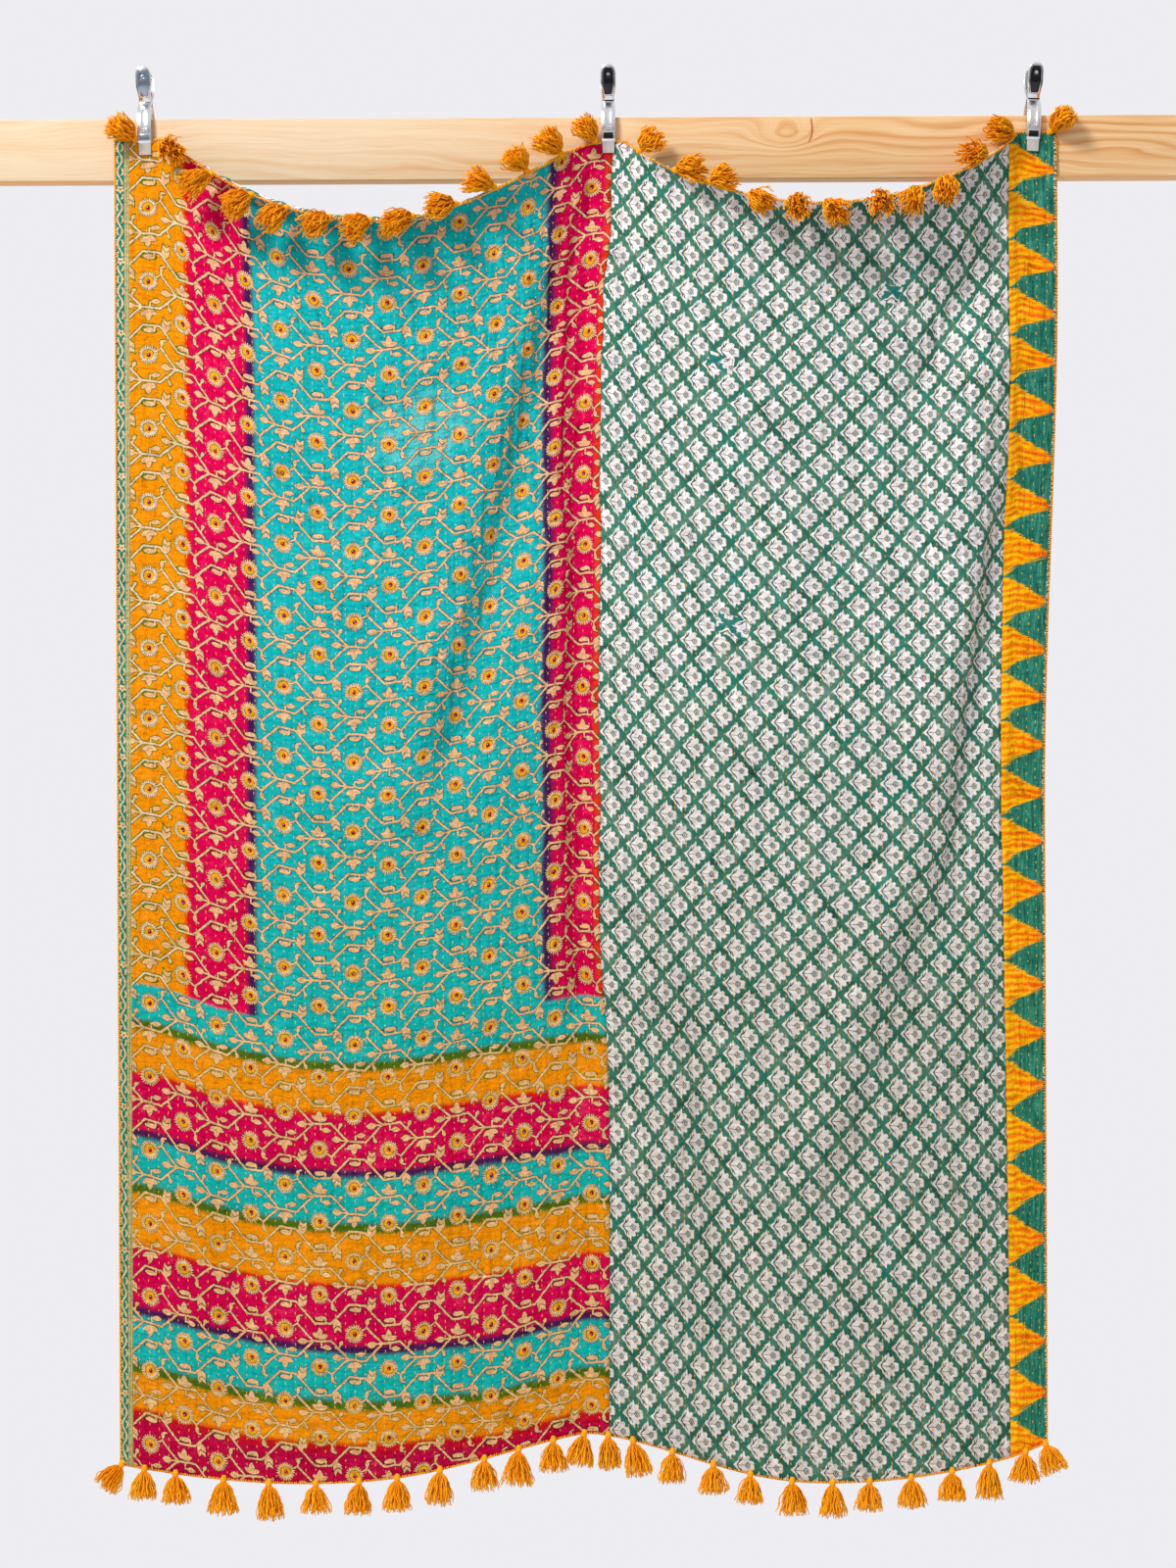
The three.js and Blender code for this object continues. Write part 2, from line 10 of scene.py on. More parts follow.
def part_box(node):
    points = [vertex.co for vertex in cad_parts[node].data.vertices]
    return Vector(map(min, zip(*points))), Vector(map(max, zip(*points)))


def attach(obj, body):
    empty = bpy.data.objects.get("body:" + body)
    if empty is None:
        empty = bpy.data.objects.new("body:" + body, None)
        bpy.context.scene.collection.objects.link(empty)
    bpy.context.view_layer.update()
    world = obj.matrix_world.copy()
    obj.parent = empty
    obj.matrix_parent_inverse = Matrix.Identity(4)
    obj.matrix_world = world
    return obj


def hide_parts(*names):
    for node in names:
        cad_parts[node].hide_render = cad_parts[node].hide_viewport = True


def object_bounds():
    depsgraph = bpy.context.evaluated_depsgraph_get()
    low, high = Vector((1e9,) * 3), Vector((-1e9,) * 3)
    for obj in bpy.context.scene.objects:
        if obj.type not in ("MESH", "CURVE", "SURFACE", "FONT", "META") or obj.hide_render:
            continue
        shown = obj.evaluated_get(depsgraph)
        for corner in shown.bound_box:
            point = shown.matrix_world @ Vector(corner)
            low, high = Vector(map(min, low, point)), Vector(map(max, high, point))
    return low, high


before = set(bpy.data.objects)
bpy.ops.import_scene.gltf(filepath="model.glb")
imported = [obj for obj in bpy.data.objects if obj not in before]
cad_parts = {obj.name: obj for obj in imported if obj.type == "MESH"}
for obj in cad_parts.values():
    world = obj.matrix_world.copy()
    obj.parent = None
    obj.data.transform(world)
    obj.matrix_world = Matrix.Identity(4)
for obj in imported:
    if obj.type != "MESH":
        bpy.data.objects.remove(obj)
cad_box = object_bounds()

# The rail is one length of planed pine with eased edges, and it runs past both sides of the quilt.
# Its grain follows its length and flows round a single knot, from which a thread of resin runs down.

RAIL_EASED_EDGE = 0.0014
RAIL_KNOT = (0.296, 0.016)
RAIL_KNOT_RADIUS = 0.024
RAIL_KNOT_STRETCH = 1.7
GROWTH_RING = 0.016
# Heights over which the rail's underside is painted a warmer brown, as painted shade
RAIL_UNDERSIDE_SHADE = (-0.0438, -0.0448)
RESIN_FROM_KNOT = 0.034
RESIN_TOP = 0.030
RESIN_SLANT = 0.28
RESIN_WAVE = 0.004
RESIN_EDGE = (0.0024, 0.0004)
RESIN_ENDS = ((0.004, 0.012), (0.045, 0.038))


def colour(code):
    """A colour from its six hexadecimal digits, as Blender's linear red, green, blue and alpha."""
    channels = [int(code[i : i + 2], 16) / 255 for i in (0, 2, 4)]
    linear = [c / 12.92 if c <= 0.04045 else ((c + 0.055) / 1.055) ** 2.4 for c in channels]
    return (*linear, 1.0)


class Dye:
    """One socket of a material's nodes. Arithmetic on it adds Math nodes to the same material."""

    def __init__(self, tree, socket=None):
        self.tree = tree
        self.socket = socket

    def node(self, kind, settings=None, sockets=None, out=0):
        """Adds a node, sets it up, fills or links its sockets, and gives one of its outputs."""
        made = self.tree.nodes.new("ShaderNode" + kind)
        for name, value in (settings or {}).items():
            if name == "stops":
                ramp = made.color_ramp
                while len(ramp.elements) < len(value):
                    ramp.elements.new(1.0)
                for element, (place, shade) in zip(ramp.elements, value):
                    element.position = place
                    element.color = shade
            else:
                setattr(made, name, value)
        for key, value in (sockets or {}).items():
            if isinstance(value, Dye):
                self.tree.links.new(value.socket, made.inputs[key])
            else:
                made.inputs[key].default_value = value
        return Dye(self.tree, made.outputs[out])

    def math(self, operation, *others):
        return self.node("Math", {"operation": operation}, dict(enumerate((self, *others))))

    def vector(self, operation, *others, out=0):
        return self.node("VectorMath", {"operation": operation}, dict(enumerate((self, *others))), out)

    def __add__(self, other):
        return self.math("ADD", other)

    def __sub__(self, other):
        return self.math("SUBTRACT", other)

    def __mul__(self, other):
        return self.math("MULTIPLY", other)

    def __truediv__(self, other):
        return self.math("DIVIDE", other)

    def __rsub__(self, other):
        return self.node("Math", {"operation": "SUBTRACT"}, {0: other, 1: self})

    __radd__ = __add__
    __rmul__ = __mul__

    def __abs__(self):
        return self.math("ABSOLUTE")

    def less(self, other):
        return self.math("MINIMUM", other)

    def more(self, other):
        return self.math("MAXIMUM", other)

    def fade(self, start, end):
        """0 before start and 1 after end, with a soft step between. It falls where end is below start."""
        settings = {"interpolation_type": "SMOOTHSTEP"}
        return self.node("MapRange", settings, {0: self, 1: start, 2: end})

    def tint(self, off, on):
        """A colour that goes from off to on as this value goes from 0 to 1."""
        return self.node("Mix", {"data_type": "RGBA"}, {0: self, 6: off, 7: on}, 2)

    def ramp(self, stops):
        return self.node("ValToRGB", {"stops": stops}, {0: self})

    def part(self, axis):
        return self.node("SeparateXYZ", None, {0: self}, "XYZ".index(axis))

    def noise(self, scale, detail=2.0, roughness=0.5, out=0):
        """Blender's noise at this place, as a number from 0 to 1, or as a colour where out is 1."""
        sockets = {"Vector": self, "Scale": scale, "Detail": detail, "Roughness": roughness}
        return self.node("TexNoise", None, sockets, out)

    def stretched(self, *factors):
        """This place with each axis multiplied, so that a noise on it is drawn out."""
        return self.vector("MULTIPLY", factors)


def new_finish(name, uv_map=None, **constants):
    """A material, its shader, and the place on the piece that its pattern follows."""
    material = bpy.data.materials.new(name)
    material.use_nodes = True
    tree = material.node_tree
    shader = tree.nodes["Principled BSDF"]
    for socket, value in constants.items():
        shader.inputs[socket.replace("_", " ")].default_value = value
    start = Dye(tree)
    if uv_map:
        place = start.node("UVMap", {"uv_map": uv_map})
    else:
        place = start.node("TexCoord", None, None, "Object")
    return material, shader, place


def feed(shader, socket, value):
    value.tree.links.new(value.socket, shader.inputs[socket])


def raise_grain(shader, height, strength, distance):
    """Feeds a height to the shader as a bump."""
    sockets = {"Strength": strength, "Distance": distance, "Height": height}
    feed(shader, "Normal", height.node("Bump", None, sockets))


def pine_finish():
    material, shader, place = new_finish("pine", Specular_IOR_Level=0.30)
    x = place.part("X")
    z = place.part("Z")
    sweep = place.stretched(1.5, 4.0, 6.0).noise(1.0, 2.0)
    waver = place.stretched(6.0, 9.0, 24.0).noise(1.0, 2.0)
    from_knot_x = (x - RAIL_KNOT[0]) / RAIL_KNOT_STRETCH
    from_knot_z = z - RAIL_KNOT[1]
    square = from_knot_x * from_knot_x + from_knot_z * from_knot_z
    near_knot = (square / -(RAIL_KNOT_RADIUS**2)).math("EXPONENT")
    rings = z / GROWTH_RING + sweep * 6.5 + waver * 1.6 + near_knot * 2.4 + place.part("Y") * 40.0
    late_wood = ((rings * (2 * math.pi)).math("SINE") * 0.5 + 0.5).fade(0.30, 1.0)
    shown = place.stretched(2.2, 3.0, 14.0).noise(1.0, 2.0).fade(0.35, 0.70)
    late_wood = late_wood * (shown * 0.7 + x.fade(-0.10, 0.30) * 0.35)
    fibres = place.stretched(10.0, 420.0, 620.0).noise(1.0, 3.0)
    along_rings = rings.node("CombineXYZ", None, {0: x * 3.0, 2: rings * 3.6})
    lines = along_rings.noise(1.0, 2.0)
    broad = place.stretched(4.0, 6.0, 16.0).noise(1.0, 2.0)
    grain = late_wood * 0.52 + (fibres - 0.5) * 0.55 + (lines - 0.5) * 1.2 + (broad - 0.5) * 0.7 + 0.16
    pale = grain.ramp([(0.0, colour("DEC6A6")), (0.45, colour("D9B78F")), (1.0, colour("CC9A60"))])
    warm = grain.ramp([(0.0, colour("ECC897")), (0.45, colour("E5B47D")), (1.0, colour("CF8E4C"))])
    wood = x.fade(-0.45, 0.40).tint(pale, warm)
    # Painted shade: the underside is painted a more saturated, warmer brown than the rest of the pine.
    wood = z.fade(*RAIL_UNDERSIDE_SHADE).tint(wood, colour("EDB474"))
    flecks = place.stretched(9.0, 300.0, 420.0).noise(1.0, 1.0).fade(0.70, 0.82)
    wood = (flecks * 0.35).tint(wood, colour("B9783F"))
    resin_bend = (z * 95.0).math("SINE") * RESIN_WAVE + RAIL_KNOT[0] + RESIN_FROM_KNOT
    resin = abs(x - resin_bend + (RESIN_TOP - z) * RESIN_SLANT).fade(*RESIN_EDGE)
    for end in RESIN_ENDS:
        resin = resin * z.fade(*end)
    wood = (resin * 0.85).tint(wood, colour("A8482A"))
    feed(shader, "Base Color", wood)
    feed(shader, "Roughness", 0.62 - late_wood * 0.12)
    raise_grain(shader, late_wood * 0.4 + fibres, 0.25, 0.0006)
    return material


rail_low, rail_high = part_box("rail")
bpy.ops.object.select_all(action="DESELECT")
bpy.ops.mesh.primitive_cube_add(size=1.0)
rail = bpy.context.object
rail.name = "pine_rail"
bpy.ops.object.mode_set(mode="EDIT")
bpy.ops.mesh.select_all(action="SELECT")
bpy.ops.transform.resize(value=rail_high - rail_low)
bpy.ops.transform.translate(value=(rail_high + rail_low) / 2)
bpy.ops.mesh.bevel(offset=RAIL_EASED_EDGE, segments=3, affect="EDGES")
bpy.ops.object.mode_set(mode="OBJECT")
bpy.ops.object.shade_smooth_by_angle(angle=math.radians(35))
rail.data.materials.append(pine_finish())
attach(rail, "root")
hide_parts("rail")

# The quilt hangs from the clips in two swags, and its top edge rolls forwards in each.
# u runs across the flat cloth from its left edge, and v runs down it from its top edge.
# The cloth keeps its length along every row, so its folds draw it in sideways.

RAIL_FRONT = rail_low.y
CLOTH_WIDTH = 1.440
CLOTH_LENGTH = 1.925
CLOTH_THICKNESS = 0.0026
CLOTH_CLEARANCE = 0.002
SEAM_U = 0.7575
BORDER_U = 1.3675
CLIP_EDGES = np.array((0.044, 0.753, 1.405))
CLIP_HEIGHTS = np.array((0.015, 0.009, 0.020))
HELD_FLAT = 0.018
SWAG_DROP = np.array((0.126, 0.111))
SWAG_FULLNESS = np.array(((1.05, 1.25), (0.95, 0.95)))
SWAG_BELLY = np.array((0.038, 0.034))
SWAG_LEAN = np.array((0.026, 0.040))
SWAG_ROLL = np.radians((160, 130))
LEAST_ROLL = math.radians(1)
BELLY_FULLNESS = 0.85
BELLY_AT_HEM = 0.6
LEAN_REACH = 0.075
ROLL_LENGTH = 0.026
ROLL_FULLNESS = np.array(((0.4, 1.5), (0.9, 0.6)))
VALLEY_SHIFT = 0.030
VALLEY_REACH = 0.200
HEM_HEIGHTS = np.array((-1.915, -1.874, -1.890))
HEM_SAG = np.array((0.044, 0.061))
HEM_FULLNESS = np.array(((0.8, 1.4), (1.7, 0.85)))
SIDE_LEFT = -0.686
SIDE_RIGHT = (0.687, 0.665)
SIDE_TAPER = (0.200, 1.000)
FOLD_FADE = 3

# Main folds: where each starts and ends on the flat cloth, how far it rises, and its half width
FOLDS = (
    ((0.700, 0.120), (0.500, 0.900), -0.017, 0.042),
    ((0.722, 0.180), (0.724, 1.300), -0.015, 0.024),
    ((0.640, 0.160), (0.420, 0.960), 0.009, 0.060),
    ((1.352, 0.090), (1.210, 0.330), -0.013, 0.030),
    ((1.330, 0.220), (1.265, 0.900), 0.017, 0.062),
    ((1.265, 0.860), (1.070, 1.500), 0.017, 0.070),
    ((1.362, 0.520), (1.290, 1.060), -0.014, 0.030),
    ((1.270, 1.060), (1.090, 1.560), -0.012, 0.046),
    ((0.905, 1.190), (0.960, 1.780), -0.012, 0.034),
    ((0.830, 1.160), (0.850, 1.900), 0.009, 0.044),
    ((0.170, 1.500), (0.150, 1.925), -0.010, 0.060),
    ((0.430, 1.400), (0.470, 1.925), 0.009, 0.070),
)
# Where the cloth is drawn aside besides: across it, down it, and how far
DRIFTS = (
    ((0.200, 0.7575, 1.300), (0.100, 0.330, 1.200, 1.550), -0.0095),
    ((0.950, 1.3675, 1.440), (0.100, 1.900, 2.400, 2.600), 0.0125),
)


def mix(a, b, share):
    return a + (b - a) * share


def ease(share):
    held = np.clip(share, 0, 1)
    return held * held * (3 - 2 * held)


def hump(share, left, right):
    """From 0 up to 1 and back to 0, with its own fullness on either half."""
    half = np.maximum(np.sin(np.pi * np.clip(share, 0, 1)), 0)
    return half ** np.where(share < 0.5, left, right)


def swag_at(u, v):
    """Which swag each point is in, 0 or 1, and its share of the way across it."""
    valley = CLIP_EDGES[1] - VALLEY_SHIFT * ease(v / VALLEY_REACH)
    right = (u >= valley).astype(int)
    start = np.where(right, valley, CLIP_EDGES[0]) + HELD_FLAT
    end = np.where(right, CLIP_EDGES[2], valley) - HELD_FLAT
    return right, np.clip((u - start) / (end - start), 0, 1)


def top_height(u):
    right, share = swag_at(u, np.zeros_like(u))
    held = mix(CLIP_HEIGHTS[right], CLIP_HEIGHTS[right + 1], share)
    full = SWAG_FULLNESS[right]
    return held - SWAG_DROP[right] * hump(share, full[..., 0], full[..., 1])


def hem_height(u):
    valley = CLIP_EDGES[1] - VALLEY_SHIFT
    right = (u >= valley).astype(int)
    share = np.where(right, (u - valley) / (CLOTH_WIDTH - valley), u / valley)
    full = HEM_FULLNESS[right]
    sag = HEM_SAG[right] * hump(share, full[..., 0], full[..., 1])
    return mix(HEM_HEIGHTS[right], HEM_HEIGHTS[right + 1], share) - sag


def fold_rise(fold, u, v):
    """How far one fold moves the cloth forwards. It dies away at both ends of its line."""
    (from_u, from_v), (to_u, to_v), rise, spread = fold
    length = math.hypot(to_u - from_u, to_v - from_v)
    run_u = (to_u - from_u) / length
    run_v = (to_v - from_v) / length
    along = (u - from_u) * run_u + (v - from_v) * run_v
    aside = (u - from_u) * run_v - (v - from_v) * run_u
    fade_length = FOLD_FADE * spread
    fade = ease((along + spread) / fade_length) * ease((length + spread - along) / fade_length)
    return rise * fade * np.exp(-((aside / spread) ** 2))


def roll_arc(u, past):
    """The turned-over edge: its forward and upward reach past its start, and the height of its crest."""
    right, share = swag_at(u, np.zeros_like(u))
    full = ROLL_FULLNESS[right]
    turn = np.maximum(SWAG_ROLL[right] * hump(share, full[..., 0], full[..., 1]), LEAST_ROLL)
    radius = ROLL_LENGTH / turn
    swept = np.maximum(past, 0) / ROLL_LENGTH * turn
    crest = radius * np.sin(np.minimum(turn, np.pi / 2))
    return radius * (1 - np.cos(swept)), radius * np.sin(swept), crest


def height_at(u, v):
    _, up, crest = roll_arc(u, ROLL_LENGTH - v)
    share = np.maximum(v - ROLL_LENGTH, 0) / (CLOTH_LENGTH - ROLL_LENGTH)
    return mix(top_height(u) - crest, hem_height(u), share) + up


def forward_at(u, v):
    """How far the cloth's middle stands in front of the rail's front face."""
    right, share = swag_at(u, v)
    belly = SWAG_BELLY[right] * hump(share, BELLY_FULLNESS, BELLY_FULLNESS)
    belly = belly * mix(1, BELLY_AT_HEM, v / CLOTH_LENGTH)
    lean = SWAG_LEAN[right] * hump(share, 1, 1) * np.exp(-np.maximum(v, 0) / LEAN_REACH)
    folds = sum(fold_rise(fold, u, v) for fold in FOLDS)
    forward, _, _ = roll_arc(u, ROLL_LENGTH - v)
    return CLOTH_CLEARANCE + CLOTH_THICKNESS / 2 + belly + lean + folds + forward


STATION = 0.005
ROW_STATION = 0.002
LEAST_ADVANCE = 0.35 * STATION
OVERHANG = 0.012
station_u = np.arange(0, CLOTH_WIDTH + STATION / 2, STATION)
station_v = np.arange(-OVERHANG, CLOTH_LENGTH + OVERHANG, ROW_STATION)
grid_u, grid_v = np.meshgrid(station_u, station_v)
rise = np.diff(height_at(grid_u, grid_v), axis=1)
out = np.diff(forward_at(grid_u, grid_v), axis=1)
advance = np.sqrt(np.maximum(STATION**2 - rise**2 - out**2, LEAST_ADVANCE**2))
station_x = np.concatenate([np.zeros((len(station_v), 1)), np.cumsum(advance, axis=1)], axis=1)
tapered = ease((station_v - SIDE_TAPER[0]) / (SIDE_TAPER[1] - SIDE_TAPER[0]))
drawn_in = (mix(*SIDE_RIGHT, tapered) - SIDE_LEFT) / station_x[:, -1]
station_x = SIDE_LEFT + station_x * drawn_in[:, None]
for (begin_u, peak_u, end_u), (begin_v, full_v, fade_v, end_v), aside in DRIFTS:
    beside = ease((grid_u - begin_u) / (peak_u - begin_u)) * ease((end_u - grid_u) / (end_u - peak_u))
    down = ease((grid_v - begin_v) / (full_v - begin_v)) * ease((end_v - grid_v) / (end_v - fade_v))
    station_x = station_x + aside * beside * down


def cloth_point(u, v):
    """Points of the cloth's middle."""
    u, v = np.broadcast_arrays(np.asarray(u, float), np.asarray(v, float))
    column = u / STATION
    row = (v - station_v[0]) / ROW_STATION
    c = np.clip(np.floor(column).astype(int), 0, len(station_u) - 2)
    r = np.clip(np.floor(row).astype(int), 0, len(station_v) - 2)
    above = mix(station_x[r, c], station_x[r, c + 1], column - c)
    below = mix(station_x[r + 1, c], station_x[r + 1, c + 1], column - c)
    return np.stack([mix(above, below, row - r), RAIL_FRONT - forward_at(u, v), height_at(u, v)], axis=-1)


def unit(vectors):
    return vectors / np.maximum(np.linalg.norm(vectors, axis=-1, keepdims=True), 1e-12)


def cloth_normal(u, v, step=0.003):
    """The cloth's outward direction, towards the viewer."""
    across = cloth_point(u + step, v) - cloth_point(u - step, v)
    down = cloth_point(u, v + step) - cloth_point(u, v - step)
    return unit(np.cross(down, across))


def wrinkles(u, v, seed, across, along, waves=18):
    """A soft irregular ripple of about unit height, with crests about across apart and along long."""
    draw = np.random.default_rng(seed)
    total = np.zeros(np.broadcast(u, v).shape)
    for _ in range(waves):
        turns_u = draw.uniform(0.5, 1.4) / across
        turns_v = draw.uniform(-1.0, 1.0) / along
        total += np.sin(2 * np.pi * (turns_u * u + turns_v * v) + draw.uniform(0, 2 * np.pi))
    return total / math.sqrt(waves)


# Each panel is three layers of soft cotton quilted by rows of running stitch from its top edge to its hem.
# The layers puff up between the rows, the thread puckers them, and the panels are sewn edge to edge.

STITCH_PITCH = 0.015
ROW_HOLLOW = 0.0010
ROW_HOLLOW_WIDTH = 0.0034
SEAM_HOLLOW = 0.0012
SEAM_HOLLOW_WIDTH = 0.004
PUCKER = 0.00058
CREASE = 0.0008
CLIP_HOLD = (0.030, 0.040)
COLUMNS_A_RIB = 4
FRONT_ROWS = 312
BACK_ROW_STRIDE = 2
BACK_COLUMN_STRIDE = 2
BACK_SLACK = 0.0002
ROW_GROWTH = 1.08
HALF = CLOTH_THICKNESS / 2

# Small creases pressed into the cloth in use: start, end, rise and half width
CREASES = (
    ((0.300, 0.330), (0.560, 0.250), -0.0022, 0.010),
    ((0.330, 0.470), (0.560, 0.430), -0.0018, 0.009),
    ((0.400, 0.700), (0.610, 0.560), 0.0022, 0.013),
    ((0.250, 0.920), (0.420, 0.980), -0.0018, 0.010),
    ((0.120, 0.600), (0.190, 1.020), -0.0018, 0.012),
    ((0.520, 1.250), (0.640, 1.500), -0.0022, 0.014),
    ((0.060, 1.830), (0.380, 1.850), -0.0025, 0.010),
    ((0.850, 0.300), (1.010, 0.420), -0.0020, 0.012),
    ((0.900, 0.640), (1.080, 0.720), 0.0020, 0.013),
    ((1.100, 0.300), (1.180, 0.520), -0.0022, 0.014),
    ((0.990, 0.860), (1.180, 1.010), -0.0022, 0.014),
    ((0.800, 1.000), (0.860, 1.290), -0.0020, 0.012),
    ((1.120, 1.150), (1.200, 1.420), 0.0024, 0.016),
    ((1.010, 1.560), (1.130, 1.800), -0.0024, 0.014),
    ((0.729, 0.060), (0.722, 0.460), -0.0060, 0.009),
    ((0.708, 0.090), (0.694, 0.520), -0.0046, 0.009),
    ((0.743, 0.070), (0.745, 0.360), -0.0030, 0.007),
    ((0.778, 0.060), (0.790, 0.320), -0.0040, 0.009),
    ((1.404, 0.180), (1.398, 0.560), -0.0009, 0.007),
    ((1.402, 0.900), (1.406, 1.400), -0.0009, 0.007),
)


def stitch_rows(from_u, to_u):
    ribs = round((to_u - from_u) / STITCH_PITCH)
    return np.linspace(from_u, to_u, ribs + 1)


def front_lift(u, v, rows):
    """How far a panel's face stands in front of the cloth's middle."""
    spacing = rows[1] - rows[0]
    row_share = (u - rows[0]) / spacing
    to_row = (row_share - np.round(row_share)) * spacing
    lift = HALF - ROW_HOLLOW * np.exp(-((to_row / ROW_HOLLOW_WIDTH) ** 2))
    for seam in (SEAM_U, BORDER_U):
        lift = lift - SEAM_HOLLOW * np.exp(-(((u - seam) / SEAM_HOLLOW_WIDTH) ** 2))
    puff = 1 - np.exp(-((to_row / ROW_HOLLOW_WIDTH) ** 2))
    return lift + PUCKER * puff * wrinkles(v, u, 11, 0.013, 0.030)


def crease_lift(u, v):
    """How far small creases move all the layers, except where a clip holds them."""
    lift = CREASE * wrinkles(u, v, 12, 0.021, 0.110) + sum(fold_rise(crease, u, v) for crease in CREASES)
    for edge in CLIP_EDGES:
        held = np.exp(-(((u - edge) / CLIP_HOLD[0]) ** 2) - (v / CLIP_HOLD[1]) ** 2)
        lift = lift * (1 - held)
    return lift


def front_point(u, v, rows, above=0.0):
    lift = front_lift(u, v, rows) + crease_lift(u, v) + above
    return cloth_point(u, v) + cloth_normal(u, v) * lift[..., None]


def back_point(u, v):
    return cloth_point(u, v) + cloth_normal(u, v) * (crease_lift(u, v) - HALF - BACK_SLACK)[..., None]


def new_piece(name, points, faces, materials):
    """A mesh object at the origin, with its place in its points."""
    mesh = bpy.data.meshes.new(name)
    mesh.from_pydata(points, [], faces)
    mesh.polygons.foreach_set("use_smooth", [True] * len(mesh.polygons))
    for material in materials:
        mesh.materials.append(material)
    piece = bpy.data.objects.new(name, mesh)
    bpy.context.scene.collection.objects.link(piece)
    return piece


def grid_faces(first, rows, columns, flipped):
    """Quads over a grid of points whose numbers start at first."""
    corner = first + np.arange(rows - 1)[:, None] * columns + np.arange(columns - 1)[None, :]
    quads = np.stack([corner, corner + columns, corner + columns + 1, corner + 1], axis=-1)
    quads = quads.reshape(-1, 4)
    return quads[:, ::-1] if flipped else quads


def wall_faces(front, back, flipped):
    """Triangles between a fine line of points and a coarse one, for the cut edge of a sheet."""
    stride = (len(front) - 1) // (len(back) - 1)
    triangles = []
    for b in range(len(back) - 1):
        middle = b * stride + stride // 2
        for f in range(b * stride, (b + 1) * stride):
            triangles.append((front[f], front[f + 1], back[b if f < middle else b + 1]))
        triangles.append((back[b], front[middle], back[b + 1]))
    return [t[::-1] for t in triangles] if flipped else triangles


def panel_faces(front_shape, back_shape):
    """Faces of a panel's front, of its back and of its four cut edges, and the material of each."""
    front = np.arange(math.prod(front_shape)).reshape(front_shape)
    back = front.size + np.arange(math.prod(back_shape)).reshape(back_shape)
    faces = grid_faces(0, *front_shape, False).tolist()
    front_end = len(faces)
    faces += grid_faces(front.size, *back_shape, True).tolist()
    back_end = len(faces)
    faces += wall_faces(front[0], back[0], False)
    faces += wall_faces(front[-1], back[-1], True)
    faces += wall_faces(front[:, 0], back[:, 0], True)
    faces += wall_faces(front[:, -1], back[:, -1], False)
    kinds = np.zeros(len(faces), int)
    kinds[front_end:back_end] = 1
    return faces, kinds


# Share of the baked picture's width that a panel's face takes, and the shares that its back lies between
FACE_SHARE = 0.82
BACK_SHARES = (FACE_SHARE + 0.01, 0.99)
# Where on the cloth the lining's print starts, which runs from right to left
LINING_START = 1.4475


def lining_print(u, v):
    """The lining is cut from the same cloths, laid the other way round."""
    return LINING_START - u, v


# How far the sari's printed rows dip: places across and down the cloth, and the dip at each in millimetres
SARI_DIP_ACROSS = (0.04, 0.15, 0.26, 0.37, 0.48, 0.58, 0.68, 0.74)
SARI_DIP_DOWN = (0.70, 1.00, 1.25, 1.45, 1.75)
SARI_DIPS = (
    (21, 24, 19, 12, 12, 26, 39, 45),
    (8, 11, 11, 11, 12, 22, 36, 43),
    (0, 13, 13, 13, 13, 25, 43, 51),
    (0, 13, 16, 17, 23, 34, 53, 57),
    (0, 13, 21, 29, 35, 53, 54, 51),
)


def sari_print(u, v):
    """The left panel's printed rows dip between the clips and towards the seam."""
    level = np.interp(v, SARI_DIP_DOWN, range(len(SARI_DIPS)))
    dip = 0
    for number, row in enumerate(SARI_DIPS):
        dip = dip + np.interp(u, SARI_DIP_ACROSS, row) * np.maximum(1 - np.abs(level - number), 0)
    return u, v - dip / 1000


LEVEL_FROM = 0.040
LEAF_ROW_SKEW = 0.10
LEAF_ROW_MIDDLE = 0.308
LEAF_ROW_HALF = 0.29
LEAF_ROW_BOW = ((0.20, 0.80, 1.70), (0.044, 0.0166, 0.002))
LEAF_STRETCH = 0.04
LEAF_STRETCH_FROM = 1.30
LEAF_COLUMN_DRIFT = ((0.35, 0.90, 1.40, 1.90), (-0.008, 0.015, 0.0025, 0.0115))


def leaf_print(u, v):
    """The right panel was cut askew to its print, and its rows hang nearly level below the rolled edge."""
    held = np.maximum(v, LEVEL_FROM)
    x, _, z = np.moveaxis(cloth_point(u, held), -1, 0)
    bow = np.interp(-z, *LEAF_ROW_BOW) * (1 - ((x - LEAF_ROW_MIDDLE) / LEAF_ROW_HALF) ** 2)
    stretch = LEAF_STRETCH * np.maximum(-z - LEAF_STRETCH_FROM, 0)
    return u - np.interp(v, *LEAF_COLUMN_DRIFT), -z - LEAF_ROW_SKEW * x - bow - stretch + v - held


BORDER_SLANT = 0.23
BORDER_MIDDLE_U = 1.400
BORDER_STRETCH = 0.064
BORDER_STRETCH_FROM = 1.28


def ikat_print(u, v):
    """The border's teeth slant down to the right, and they are a little longer in its lower part."""
    stretch = BORDER_STRETCH * np.maximum(v - BORDER_STRETCH_FROM, 0)
    return u, v - stretch - BORDER_SLANT * (u - BORDER_MIDDLE_U)


